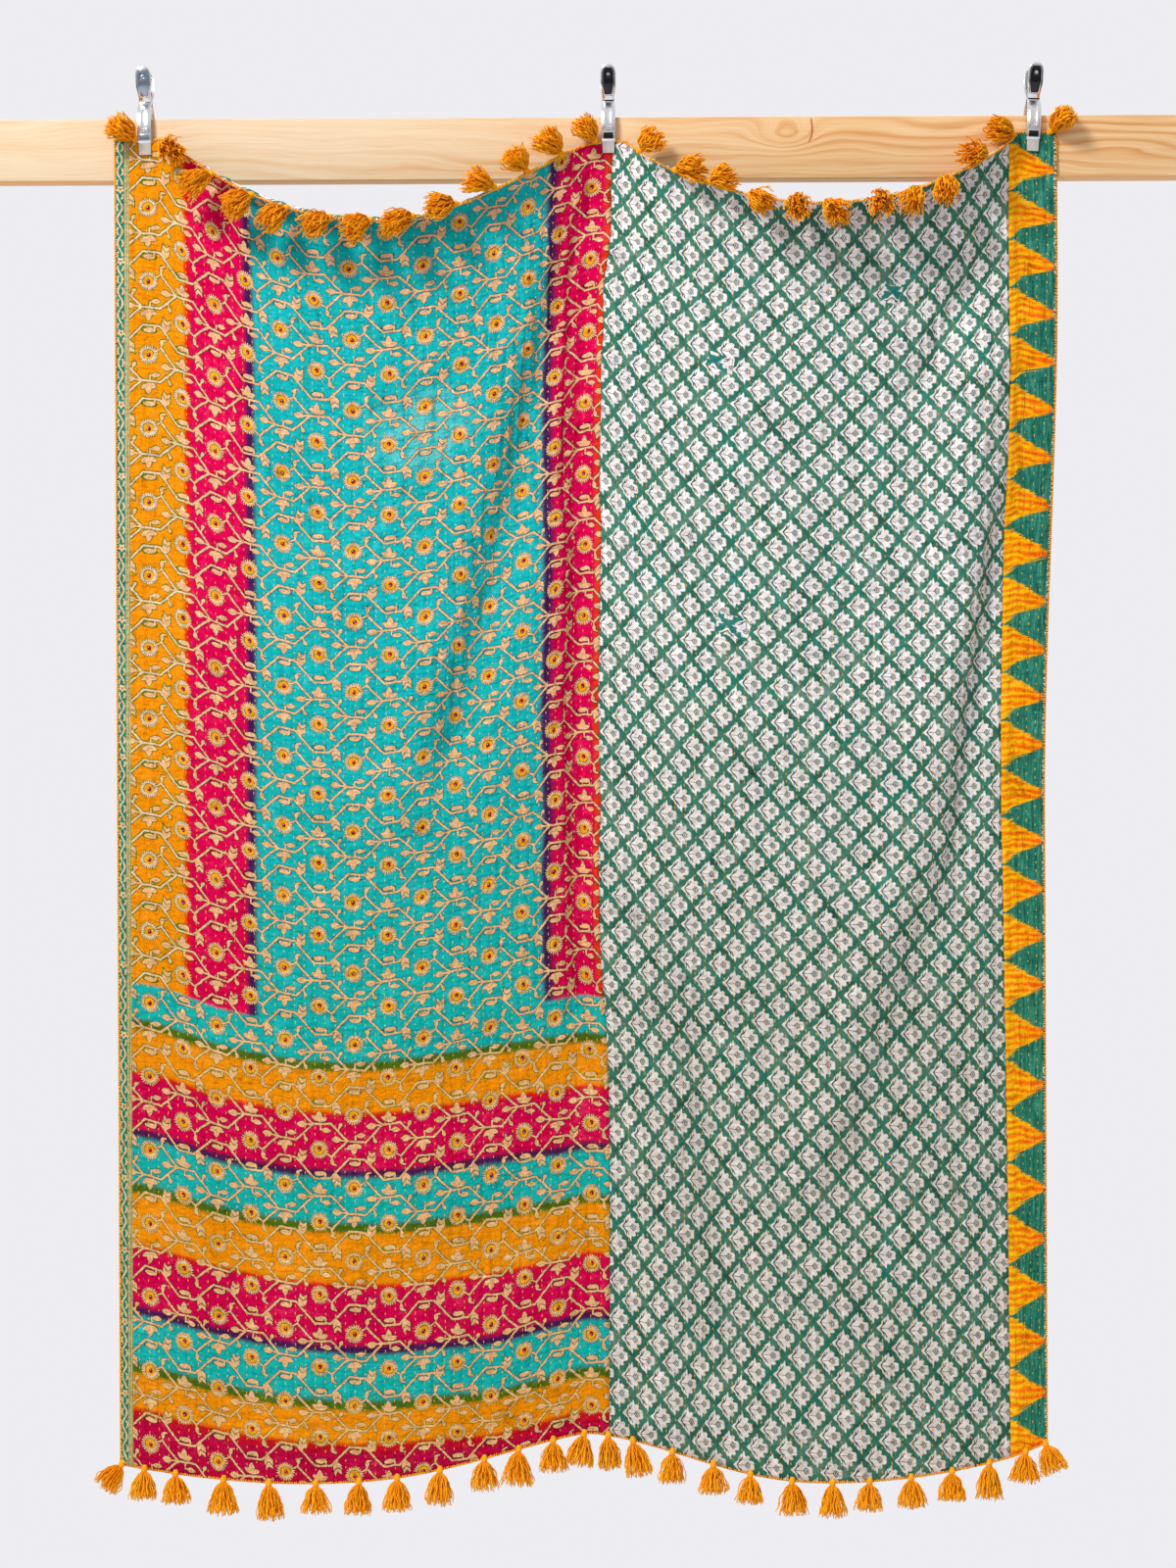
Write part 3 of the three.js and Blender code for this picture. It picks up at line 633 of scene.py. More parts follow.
def quilted_panel(name, node, span, face_finish, back_finish, lay_print):
    """One panel: a fine quilted face, a coarser lining behind it, and the cut edges between them."""
    from_u, to_u = span
    rows = stitch_rows(from_u, to_u)
    u_line = np.linspace(from_u, to_u, COLUMNS_A_RIB * (len(rows) - 1) + 1)
    v_line = CLOTH_LENGTH * np.linspace(0, 1, FRONT_ROWS + 1) ** ROW_GROWTH
    u, v = np.meshgrid(u_line, v_line)
    front = front_point(u, v, rows)
    back_u = u[::BACK_ROW_STRIDE, ::BACK_COLUMN_STRIDE]
    back_v = v[::BACK_ROW_STRIDE, ::BACK_COLUMN_STRIDE]
    back = back_point(back_u, back_v)
    faces, kinds = panel_faces(u.shape, back_u.shape)
    points = np.concatenate([front.reshape(-1, 3), back.reshape(-1, 3)])
    panel = new_piece(name, points, faces, [face_finish, back_finish])
    mesh = panel.data
    mesh.polygons.foreach_set("material_index", kinds)
    corner_points = np.zeros(len(mesh.loops), int)
    mesh.loops.foreach_get("vertex_index", corner_points)
    flat_u = np.append(u, back_u)
    flat_v = np.append(v, back_v)
    corners = np.zeros(len(mesh.polygons), int)
    mesh.polygons.foreach_get("loop_total", corners)
    on_lining = np.repeat(kinds, corners)[:, None] == 1
    printed = np.stack(lay_print(flat_u, flat_v), axis=-1)[corner_points]
    lining = np.stack(lining_print(flat_u, flat_v), axis=-1)[corner_points]
    printed = np.where(on_lining, lining, printed)
    mesh.uv_layers.new(name="Cloth").data.foreach_set("uv", printed.ravel())
    flat = np.stack([flat_u, flat_v], axis=-1)[corner_points]
    sides = np.stack([(flat[:, 0] - from_u) / (to_u - from_u), 1 - flat[:, 1] / CLOTH_LENGTH], axis=-1)
    on_back = corner_points >= u.size
    sides[:, 0] = np.where(on_back, mix(*BACK_SHARES, sides[:, 0]), FACE_SHARE * sides[:, 0])
    mesh.uv_layers.new(name="OFBake").data.foreach_set("uv", sides.ravel())
    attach(panel, "root")
    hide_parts(node)
    return panel


# The left panel is cut from one printed sari: a leafy vine over stripes of gold, magenta and turquoise,
# which end above a banded end piece. Where two dyes meet they bleed into a third.

VINE_REPEAT = (105.0, 106.4)
VINE_START = (257.0, 182.4)
GLIDE_AXIS = 0.255
CELL_LEFT = -0.14
CELL_TOP = -0.22
VINE_HALF_WIDTH = 1.50
STEM_HALF_WIDTH = 1.20
PRINT_WOBBLE = 2.2

# Vines of the repeat and the thinner stems on them, from end to end, in shares of it from a flower's middle
VINES = (
    ((-0.335, 0.125), (-0.090, 0.366)),
    ((-0.090, 0.366), (0.035, 0.372)),
    ((0.035, 0.372), (0.165, 0.385)),
    ((0.165, 0.385), (0.410, 0.144)),
    ((0.410, 0.144), (0.289, 0.038)),
    ((0.289, 0.038), (0.178, -0.078)),
    ((-0.090, 0.366), (-0.211, 0.472)),
    ((-0.340, 0.885), (-0.070, 0.610)),
    ((-0.070, 0.610), (0.160, 0.625)),
    ((0.160, 0.625), (0.430, 0.900)),
    ((0.160, -0.375), (0.430, -0.100)),
)
STEMS = (
    ((0.178, -0.078), (0.115, -0.040)),
    ((0.178, -0.078), (0.185, -0.150)),
    ((0.190, -0.185), (0.238, -0.195)),
    ((0.300, 0.155), (0.410, 0.146)),
    ((-0.200, 0.355), (-0.090, 0.364)),
    ((0.022, 0.372), (0.022, 0.292)),
    ((0.272, 0.285), (0.300, 0.350)),
    ((0.088, 0.675), (0.082, 0.615)),
)

# Leaves: middle in shares of the repeat, half length and half width in mm, direction, and whether pointed
VINE_LEAVES = (
    ((0.250, 0.160), 8.0, 4.6, 178, True),
    ((0.000, 0.478), 9.0, 4.4, 92, True),
    ((-0.044, 0.446), 7.6, 3.6, 152, True),
    ((0.052, 0.436), 7.2, 3.6, 20, True),
    ((0.100, 0.288), 7.4, 3.6, -4, True),
    ((0.306, 0.362), 3.6, 2.7, 60, False),
    ((0.186, -0.150), 4.6, 2.9, 95, False),
    ((0.012, 0.684), 8.6, 3.4, 4, False),
)
FLOWER_MIDDLE = (0.0, 1.6)
FLOWER_RADIUS = 12.7
FLOWER_JAG = 1.4
FLOWER_PETALS = 22
FLOWER_EYE = 7.4
FLOWER_DOT = 3.0
DOT_MIDDLE = (0.5, 0.6)
DOT_SIZE = (1.0, 1.15)
GLINT_MIDDLE = (-0.5, -0.9)
BUD_FOOT = (0.238, 0.695)
BUD_LEAN = 8


def repeat_place(share):
    """A place in the vine's repeat, in millimetres."""
    return share[0] * VINE_REPEAT[0], share[1] * VINE_REPEAT[1]


def stroke(place, start, end):
    """Distance from a straight stroke of the print."""
    a = np.array((*start, 0.0))
    run = np.array((*end, 0.0)) - a
    offset = place.vector("SUBTRACT", tuple(a))
    along = offset.vector("DOT_PRODUCT", tuple(run / (run @ run)), out=1)
    along = along.node("Clamp", None, {0: along})
    return along.vector("MULTIPLY_ADD", tuple(-run), offset).vector("LENGTH", out=1)


def lowest(distances):
    """The least of several distances."""
    least, *others = distances
    for other in others:
        least = least.less(other)
    return least


def highest(marks):
    """The most of several marks."""
    most, *others = marks
    for other in others:
        most = most.more(other)
    return most


def turned(place, middle, degrees, size=(1.0, 1.0)):
    """The place seen from a motif's own middle, direction and size."""
    sockets = {
        "Vector": place,
        "Location": (*middle, 0.0),
        "Rotation": (0.0, 0.0, math.radians(degrees)),
        "Scale": (*size, 1.0),
    }
    return place.node("Mapping", {"vector_type": "TEXTURE"}, sockets)


def leaf(place, middle, half_length, half_width, degrees, pointed):
    """Distance outside a leaf of the print, less than 0 inside it."""
    local = turned(place, repeat_place(middle), degrees, (half_length, half_width))
    if pointed:
        x = local.part("X")
        reach = x.math("MULTIPLY_ADD", x, abs(local.part("Y")))
    else:
        reach = local.vector("LENGTH", out=1)
    return reach.math("MULTIPLY_ADD", half_width, -half_width)


def bud(place):
    """Distance outside the notched bud that stands on the vine, with a line across it."""
    local = turned(place, repeat_place(BUD_FOOT), 180 + BUD_LEAN)
    aside = abs(local.part("X"))
    up = local.part("Y")
    rise = up - aside * 0.8
    body = ((aside * 1.1 - up) * 0.7).more(aside - 6.4 + rise.fade(9.0, 11.0)).more((rise - 16.5) * 0.75)
    line = abs(rise - 10.0)
    return body.more(0.8 - line)


def vine_print(place):
    """Distance in mm outside the printed motifs and from the vine's middle, and the place in the repeat."""
    wobble = place.noise(160.0, 2.0, 0.5, 1).vector("SUBTRACT", (0.5, 0.5, 0.5))
    wavy = wobble.vector("MULTIPLY_ADD", (PRINT_WOBBLE / 1000, PRINT_WOBBLE / 1000, 0.0), place)
    shares = wavy.vector("MULTIPLY", (1000 / VINE_REPEAT[0], 1000 / VINE_REPEAT[1], 0.0))
    start = (VINE_START[0] / VINE_REPEAT[0], VINE_START[1] / VINE_REPEAT[1], 0.0)
    shares = shares.vector("SUBTRACT", start)
    s = shares.part("X")
    t = shares.part("Y")
    column = ((s - CELL_LEFT) * 2).math("FLOOR")
    flipped = column.math("FLOORED_MODULO", 2.0)
    s = s - column * 0.5
    t = t + flipped * (2 * GLIDE_AXIS - t * 2)
    t = t - (t - CELL_TOP).math("FLOOR")
    flat = place.node("CombineXYZ", None, {0: s * VINE_REPEAT[0], 1: t * VINE_REPEAT[1]})
    from_vine = lowest(stroke(flat, repeat_place(begin), repeat_place(end)) for begin, end in VINES)
    from_stem = lowest(stroke(flat, repeat_place(begin), repeat_place(end)) for begin, end in STEMS)
    motif = (from_vine - VINE_HALF_WIDTH).less(from_stem - STEM_HALF_WIDTH)
    leaves = lowest(leaf(flat, *row) for row in VINE_LEAVES)
    return motif.less(leaves).less(bud(flat)), from_vine, flat


def soft_stops(bands, length):
    """Ramp stops for flat bands of colour, each from its start to its end along length."""
    stops = []
    for start, end, code in bands:
        stops.append((start / length, colour(code)))
        if end > start:
            stops.append((end / length, colour(code)))
    return stops


GOLD = "F08E04"
FLAME = "DA1410"
PLUM = "471A55"
TURQUOISE = "10B1B4"
OLIVE = "4C6A12"
OLIVE_LINE = "5C7410"
WINE_LINE = "3F0729"
TEAL_LINE = "08666E"
MAGENTA = "D30150"
SARI_LENGTH = 0.760
SARI_STRIPES = (
    (0.000, 0.101, GOLD),
    (0.105, 0.109, FLAME),
    (0.115, 0.197, "DB014F"),
    (0.204, 0.212, PLUM),
    (0.219, 0.653, TURQUOISE),
    (0.660, 0.669, PLUM),
    (0.677, 0.746, "D60150"),
    (0.751, 0.760, "E2330F"),
)
SARI_OUTLINES = (
    (0.000, 0.104, OLIVE_LINE),
    (0.114, 0.206, WINE_LINE),
    (0.218, 0.654, TEAL_LINE),
    (0.674, 0.760, WINE_LINE),
)
END_BANDS_FROM = 1.222
END_BANDS_LENGTH = 0.703
END_BANDS = (
    (0.000, 0.050, TURQUOISE),
    (0.055, 0.064, OLIVE),
    (0.070, 0.125, GOLD),
    (0.130, 0.130, FLAME),
    (0.140, 0.209, MAGENTA),
    (0.215, 0.221, PLUM),
    (0.228, 0.287, TURQUOISE),
    (0.293, 0.302, OLIVE),
    (0.308, 0.376, GOLD),
    (0.381, 0.381, FLAME),
    (0.391, 0.466, MAGENTA),
    (0.472, 0.478, PLUM),
    (0.485, 0.547, TURQUOISE),
    (0.554, 0.563, OLIVE),
    (0.569, 0.613, GOLD),
    (0.620, 0.620, "C8120E"),
    (0.638, 0.703, "BE0446"),
)
END_OUTLINES = (
    (0.000, 0.054, TEAL_LINE),
    (0.064, 0.128, OLIVE_LINE),
    (0.136, 0.218, WINE_LINE),
    (0.226, 0.290, TEAL_LINE),
    (0.302, 0.379, OLIVE_LINE),
    (0.387, 0.475, WINE_LINE),
    (0.483, 0.551, TEAL_LINE),
    (0.563, 0.621, OLIVE_LINE),
    (0.629, 0.703, WINE_LINE),
)
# A faded place in the turquoise: its middle on the print and its half size
FADED_MIDDLE = (0.465, 0.325)
FADED_HALF = (0.090, 0.080)
SELVEDGE = 0.0205
SELVEDGE_LINES = 0.0135
SELVEDGE_CORD = 0.00225
SELVEDGE_WAVE = 0.0347
SELVEDGE_VINE = 0.0072
SELVEDGE_SWING = 0.0034
SELVEDGE_LEAVES = 0.0074
LEAF_SWING = 0.0042
SELVEDGE_FLOWERS = 0.104
BLOOM_MIDDLE = 0.0080
BLOOM_RADIUS = 0.0048
BLOOM_JAG = 0.0012
BLOOM_PETALS = 5
DYE_BLEED = 0.010


def cotton_finish(name, sheen=0.04):
    """A matt finish that follows the print of its panel."""
    return new_finish(name, "Cloth", Roughness=0.95, Specular_IOR_Level=sheen)


def worn_cotton(place, dyed, shader, seed_shift, hem_painted_shade):
    """Makes dyed cotton look woven and worn: slubs, threads, faded patches and puckers, with painted shade
    that darkens it towards the hem.
    """
    # Painted shade: the colour darkens down the cloth towards the hem.
    shade = place.part("Y").fade(0.45, 1.40).tint((1.0, 1.0, 1.0, 1.0), (*hem_painted_shade, 1.0))
    dyed = dyed.vector("MULTIPLY", shade)
    moved = place.vector("ADD", (seed_shift, seed_shift * 0.7, 0.0))
    warp = moved.stretched(1300.0, 60.0, 1.0).noise(1.0, 2.0)
    weft = moved.stretched(70.0, 1100.0, 1.0).noise(1.0, 2.0)
    patches = moved.noise(9.0, 3.0, 0.6)
    stains = moved.stretched(34.0, 52.0, 1.0).noise(1.0, 4.0, 0.62)
    specks = moved.noise(300.0, 3.0, 0.65)
    mottle = moved.noise(125.0, 2.0, 0.55)
    threads = (warp - 0.5) * 0.8 + (weft - 0.5) * 0.6 + (specks - 0.5) * 1.4
    uneven = (patches - 0.5) * 0.8 + (stains - 0.5) * 1.1 + (mottle - 0.5) * 1.0
    pale = (uneven + threads * 0.50 - 0.03).fade(0.0, 0.60)
    dark = (-0.03 - uneven - threads * 0.60).fade(0.0, 0.65)
    light = 1 + pale * 0.38 - dark * 0.58
    worn = dyed.node("VectorMath", {"operation": "SCALE"}, {0: dyed, 3: light})
    feed(shader, "Base Color", (pale * 0.04).tint(worn, colour("F7F3EA")))
    puckers = moved.stretched(80.0, 170.0, 1.0).noise(1.0, 3.0)
    creases = moved.stretched(150.0, 30.0, 1.0).noise(1.0, 2.0)
    crinkle = moved.stretched(26.0, 70.0, 1.0).noise(1.0, 2.0, 0.5)
    height = puckers + creases * 0.8 + crinkle * 1.2 + (warp + weft + specks) * 0.12
    raise_grain(shader, height, 0.8, 0.0052)


def sari_ground(place, u, v):
    """The striped and banded ground, the outline's colour on it, and where the bands are."""
    bleed = (place.stretched(60.0, 900.0, 1.0).noise(1.0, 2.0) - 0.5) * DYE_BLEED
    bleed_down = (place.stretched(900.0, 60.0, 1.0).noise(1.0, 2.0) - 0.5) * DYE_BLEED
    stripe_share = (u + bleed) / SARI_LENGTH
    band_share = (v + bleed_down - END_BANDS_FROM) / END_BANDS_LENGTH
    in_bands = band_share.fade(-0.004, 0.004)
    stripes = stripe_share.ramp(soft_stops(SARI_STRIPES, SARI_LENGTH))
    bands = band_share.ramp(soft_stops(END_BANDS, END_BANDS_LENGTH))
    stripe_lines = stripe_share.ramp(soft_stops(SARI_OUTLINES, SARI_LENGTH))
    band_lines = band_share.ramp(soft_stops(END_OUTLINES, END_BANDS_LENGTH))
    ground = in_bands.tint(stripes, bands)
    faded = turned(place, FADED_MIDDLE, 0, FADED_HALF).vector("LENGTH", out=1).fade(1.1, 0.4)
    faded = faded * place.noise(45.0, 3.0, 0.6).fade(0.32, 0.68)
    ground = (faded * 0.75).tint(ground, colour("72D2D2"))
    return ground, in_bands.tint(stripe_lines, band_lines), in_bands


def flower_eye(flat, from_flower, printed):
    """Lays the ringed eye of each flower on the print, with a dark dot and a glint in it."""
    low_side = (flat.part("Y") + flat.part("X") * 0.4).fade(1.0, 5.5)
    rim = low_side.tint(colour("66741A"), colour("CFD3C6"))
    printed = abs(from_flower - FLOWER_EYE - 0.4).fade(1.05, 0.45).tint(printed, rim)
    printed = from_flower.fade(FLOWER_EYE + 0.2, FLOWER_EYE - 0.3).tint(printed, colour("F2A016"))
    from_dot = turned(flat, DOT_MIDDLE, 0, DOT_SIZE).vector("LENGTH", out=1)
    printed = from_dot.fade(FLOWER_DOT + 0.5, FLOWER_DOT - 0.5).tint(printed, colour("5E1030"))
    printed = from_dot.fade(FLOWER_DOT - 0.9, 0.6).tint(printed, colour("B80F4C"))
    glint = turned(flat, GLINT_MIDDLE, 0).vector("LENGTH", out=1).fade(1.1, 0.6)
    return (glint * 0.6).tint(printed, colour("EADDE2"))


def selvedge_print(u, v):
    """The sari's woven edge: a waving vine with leaves and blooms, and cords beside it."""
    wave = (v * (2 * math.pi / SELVEDGE_WAVE)).math("SINE")
    vine = abs(u - SELVEDGE_VINE - wave * SELVEDGE_SWING).fade(0.0017, 0.0011)
    leaves = abs(u - SELVEDGE_LEAVES + wave * LEAF_SWING).fade(0.0016, 0.0010) * abs(wave).fade(0.45, 0.65)
    bloom_v = (v / SELVEDGE_FLOWERS).math("FRACT") * SELVEDGE_FLOWERS - SELVEDGE_FLOWERS / 2
    bloom_u = u - BLOOM_MIDDLE
    from_bloom = (bloom_u * bloom_u + bloom_v * bloom_v).math("SQRT")
    jag = (bloom_v.math("ARCTAN2", bloom_u) * BLOOM_PETALS).math("SINE") * BLOOM_JAG
    bloom = (from_bloom - jag - BLOOM_RADIUS).fade(0.0003, -0.0003)
    motif = (vine.more(leaves) * from_bloom.fade(0.0072, 0.0080)).more(bloom)
    woven = motif.tint(colour("0F8478"), colour("E6C193"))
    woven = from_bloom.fade(0.0016, 0.0010).tint(woven, colour("3F7A35"))
    lines = ((u - SELVEDGE_LINES) * (2 * math.pi / SELVEDGE_CORD)).math("SINE").fade(-0.50, 0.05)
    cords = lines.tint(colour("42701F"), colour("DDC08E"))
    return u.fade(SELVEDGE_LINES - 0.0004, SELVEDGE_LINES + 0.0004).tint(woven, cords)


def sari_finish():
    material, shader, place = cotton_finish("sari_cotton")
    u = place.part("X")
    v = place.part("Y")
    ground, outline, in_bands = sari_ground(place, u, v)
    motif, from_vine, flat = vine_print(place)
    flat = turned(flat, FLOWER_MIDDLE, 0)
    from_flower = flat.vector("LENGTH", out=1)
    around = flat.part("Y").math("ARCTAN2", flat.part("X"))
    jag = (around * FLOWER_PETALS).math("SINE") * FLOWER_JAG + (place.noise(420.0, 1.0) - 0.5) * 2.4
    petals = from_flower - jag - FLOWER_RADIUS
    motif = motif.less(petals)
    on_gold = u.fade(0.106, 0.100) * (1 - in_bands)
    printed = (motif - on_gold * 0.5).fade(1.25, 0.75).tint(ground, outline)
    cream = place.noise(300.0, 1.0).fade(0.35, 0.7).tint(colour("E2A874"), colour("EDC095"))
    printed = motif.fade(0.30, -0.20).tint(printed, cream)
    chalk = on_gold * from_vine.less(petals + 2.6).fade(0.85, 0.45)
    printed = (chalk * 0.85).tint(printed, colour("DBCFC6"))
    clefts = jag.fade(-0.3, -1.5) * from_flower.fade(8.4, 10.0) * from_flower.fade(12.8, 11.6)
    printed = (clefts * 0.6).tint(printed, outline)
    printed = flower_eye(flat, from_flower, printed)
    at_edge = u.fade(SELVEDGE + 0.0004, SELVEDGE - 0.0004)
    # The last figures are the painted shade at the hem.
    worn_cotton(place, at_edge.tint(printed, selvedge_print(u, v)), shader, 0.0, (0.88, 0.88, 0.76))
    return material


# The right panel is a green cotton block-printed with small white palmettes in a half-drop.
# The green is blotchy, and a few worn places are darned with scraps of the same print, turned.

LEAF_COLUMN = 21.7
LEAF_PERIOD = 52.3
LEAF_START = (914.0, 403.7)
# Darned scraps: middle on the flat cloth and half size
DARNS = (
    ((0.955, 0.660), (0.024, 0.016)),
    ((1.185, 0.143), (0.014, 0.013)),
    ((0.946, 0.266), (0.019, 0.012)),
)
DARN_TURN = 12
SCRAP_TURN = 96
SCRAP_SHIFT = (7.0, 11.0)


def nearest_motif(place):
    """The place seen from the nearest motif of a half-drop lattice."""
    high = (LEAF_COLUMN, LEAF_PERIOD / 2, 1.0)
    low = (-LEAF_COLUMN, -LEAF_PERIOD / 2, -1.0)
    first = place.vector("WRAP", high, low)
    second = place.vector("ADD", high).vector("WRAP", high, low)
    nearer = first.vector("LENGTH", out=1).math("LESS_THAN", second.vector("LENGTH", out=1))
    return nearer.node("Mix", {"data_type": "VECTOR"}, {0: nearer, 4: second, 5: first}, 1)


# Outline of the palmette's upper half: the direction from its hub in degrees and the reach in mm
PALMETTE_EDGE = (
    (0, 20.6), (4, 19.0), (8, 20.8), (12, 19.4), (16, 20.2), (21, 17.0), (27, 14.2), (32, 14.6),
    (37, 16.8), (42, 18.0), (46, 16.8), (51, 17.4), (56, 14.8), (62, 13.8), (67, 15.6), (72, 18.0),
    (76, 20.4), (80, 16.8), (84, 14.6), (88, 16.2), (93, 13.4), (98, 14.2), (103, 11.2), (108, 12.4),
    (114, 10.6), (119, 11.4), (126, 9.4), (136, 8.8), (152, 9.6), (167, 11.6), (180, 13.8),
)
PALMETTE_REACH = 25.0
PALMETTE_TIP = 17.0
PALMETTE_HUB = 13.0
PALMETTE_TURN = -1
PALMETTE_SIZE = (0.97, 1.06)
# Dark strokes of its upper half, from its left tip: start, end and half width in millimetres
PALMETTE_STROKES = (
    ((5.6, 0.0), (9.0, 4.4), 0.75),
    ((9.0, 4.4), (12.6, 6.8), 0.85),
    ((10.0, 5.6), (11.0, 9.4), 0.65),
    ((13.2, 7.8), (15.0, 11.0), 0.60),
    ((7.0, 0.0), (19.0, 0.0), 0.30),
    ((18.4, 0.0), (22.4, 4.2), 0.62),
    ((21.4, 0.0), (24.6, 3.4), 0.60),
    ((24.4, 0.0), (26.6, 2.0), 0.55),
)


def palmette(local):
    """White print and the dark sprigs in it: a fan of jagged lobes that points right, held in a bracket."""
    leaning = turned(local, (0.0, 0.0), PALMETTE_TURN, PALMETTE_SIZE)
    x = leaning.part("X") + PALMETTE_TIP
    fold = abs(leaning.part("Y"))
    from_tip = x.node("CombineXYZ", None, {0: x, 1: fold})
    from_hub = from_tip.vector("SUBTRACT", (PALMETTE_HUB, 0.0, 0.0))
    around = fold.math("ARCTAN2", x - PALMETTE_HUB) / math.pi
    chart = [(a / 180, (r / PALMETTE_REACH,) * 3 + (1.0,)) for a, r in PALMETTE_EDGE]
    edge = around.ramp(chart) * PALMETTE_REACH - 0.5
    body = (from_hub.vector("LENGTH", out=1) - edge).fade(0.4, -0.4)
    strokes = [stroke(from_tip, begin, end) - half for begin, end, half in PALMETTE_STROKES]
    return body, highest(distance.fade(0.35, -0.25) for distance in strokes)


def leaf_finish():
    material, shader, place = cotton_finish("leaf_cotton")
    wobble = place.noise(220.0, 2.0, 0.5, 1).vector("SUBTRACT", (0.5, 0.5, 0.5))
    drift = place.noise(7.0, 1.0, 0.5, 1).vector("SUBTRACT", (0.5, 0.5, 0.5))
    flat = place.vector("MULTIPLY_ADD", (1000.0, 1000.0, 0.0), tuple(-x for x in (*LEAF_START, 0.0)))
    flat = wobble.vector("MULTIPLY_ADD", (2.0, 2.0, 0.0), flat)
    flat = drift.vector("MULTIPLY_ADD", (5.0, 5.0, 0.0), flat)
    darns = []
    for middle, half in DARNS:
        local = turned(place, middle, DARN_TURN, half)
        within = abs(local.part("X")).more(abs(local.part("Y"))).math("LESS_THAN", 1.0)
        darns.append(within)
        scrap = turned(flat, SCRAP_SHIFT, SCRAP_TURN)
        flat = within.node("Mix", {"data_type": "VECTOR"}, {0: within, 4: flat, 5: scrap}, 1)
    body, sprigs = palmette(nearest_motif(flat))
    blotch = place.noise(26.0, 3.0, 0.6)
    teal = place.vector("ADD", (3.0, 1.0, 0.0)).noise(14.0, 2.0, 0.5)
    green = blotch.ramp([(0.28, colour("285A49")), (0.5, colour("3C7C67")), (0.72, colour("6A927F"))])
    green = (teal.fade(0.50, 0.74) * 0.6).tint(green, colour("1A806F"))
    green = (highest(darns) * 0.7).tint(green, colour("12807A"))
    white = place.noise(90.0, 2.0).fade(0.3, 0.7).tint(colour("F3EEED"), colour("E6DFDE"))
    printed = body.tint(green, white)
    printed = (sprigs * body).tint(printed, colour("1D4A3B"))
    # The last figures are the painted shade at the hem.
    worn_cotton(place, printed, shader, 2.0, (0.80, 0.77, 0.71))
    return material


# The right border is a strip of resist-dyed weave: green teeth on a yellow ground that deepens to orange.
# The dye ran along each thread before it was woven, so the teeth have ragged steps.

TOOTH_PITCH = 0.0702
TOOTH_MIDDLE = 0.0840
TOOTH_STEP = 0.0027
DYE_BAND = 0.0105
# Half height of a green tooth across the strip, both as shares
TOOTH_EDGE = (
    (0.0, 0.01), (0.12, 0.04), (0.31, 0.17), (0.55, 0.27), (0.81, 0.37), (0.93, 0.44), (1.0, 0.47),
)


def ikat_finish():
    material, shader, place = cotton_finish("ikat_cotton", 0.05)
    across = (place.part("X") - BORDER_U) / (CLOTH_WIDTH - BORDER_U)
    v = place.part("Y")
    tooth = ((v - TOOTH_MIDDLE) / TOOTH_PITCH + 0.5).math("FRACT") - 0.5
    ragged = place.stretched(110.0, 520.0, 1.0).noise(1.0, 2.0)
    threads = (v + place.part("X") * 0.3) / TOOTH_STEP
    bundle = threads.math("FLOOR")
    jump = bundle.node("TexWhiteNoise", {"noise_dimensions": "1D"}, {"W": bundle})
    spike = abs(threads.math("FRACT") - 0.5)
    reach = across + (jump - 0.5) * 0.12 + (ragged - 0.5) * 0.10 + (0.25 - spike) * 0.20
    chart = [(a, (h * 2, h * 2, h * 2, 1.0)) for a, h in TOOTH_EDGE]
    edge = abs(tooth) - reach.ramp(chart) * 0.5
    green_part = edge.fade(0.010, -0.008)
    waver = place.stretched(30.0, 40.0, 1.0).noise(1.0, 2.0)
    bands = ((v + waver * 0.018) * (2 * math.pi / DYE_BAND)).math("SINE")
    warmth = across * 0.60 + bands * 0.42 + (ragged - 0.5) * 0.4 + 0.24
    orange = warmth.ramp([(0.0, colour("FFC00E")), (0.45, colour("FA9606")), (1.0, colour("F06404"))])
    fringe = edge.fade(0.085, 0.030) * across.fade(0.95, 0.60)
    orange = (fringe * 0.8).tint(orange, colour("FFB808"))
    streaks = place.stretched(260.0, 26.0, 1.0).noise(1.0, 2.0)
    green = streaks.ramp([(0.30, colour("1A5A4C")), (0.52, colour("2A7A66")), (0.72, colour("4B9A85"))])
    halo = abs(edge).fade(0.016, 0.002)
    dyed = green_part.tint(orange, green)
    dyed = (halo * 0.5).tint(dyed, colour("7C7A12"))
    dyed = v.fade(0.016, 0.010).tint(dyed, green)
    cracks = place.stretched(240.0, 14.0, 1.0).noise(1.0, 2.0).fade(0.62, 0.72)
    dyed = (cracks * 0.45).tint(dyed, colour("123A30"))
    outer = place.part("X").fade(CLOTH_WIDTH - 0.0045, CLOTH_WIDTH - 0.0035)
    spots = place.noise(240.0, 1.0).fade(0.50, 0.60) * place.noise(25.0, 1.0).fade(0.40, 0.55)
    strip = spots.tint(colour("1C6A5C"), colour("E5DEDC"))
    dyed = outer.tint(dyed, strip)
    # The last figures are the painted shade at the hem.
    worn_cotton(place, dyed, shader, 4.0, (1.0, 0.98, 0.90))
    return material


sari_cotton = sari_finish()
leaf_cotton = leaf_finish()
ikat_cotton = ikat_finish()
sari_panel = quilted_panel("sari_cloth", "sari_panel", (0.0, SEAM_U), sari_cotton, leaf_cotton, sari_print)
leaf_span = (SEAM_U, BORDER_U)
leaf_panel = quilted_panel("leaf_cloth", "leaf_panel", leaf_span, leaf_cotton, sari_cotton, leaf_print)
border_span = (BORDER_U, CLOTH_WIDTH)
ikat_border = quilted_panel("ikat_cloth", "ikat_border", border_span, ikat_cotton, leaf_cotton, ikat_print)

# The quilting is running stitch in soft yellow cotton yarn, sewn by hand in long rows from top to hem.
# Each stitch is a short plump dash that sinks at both ends.

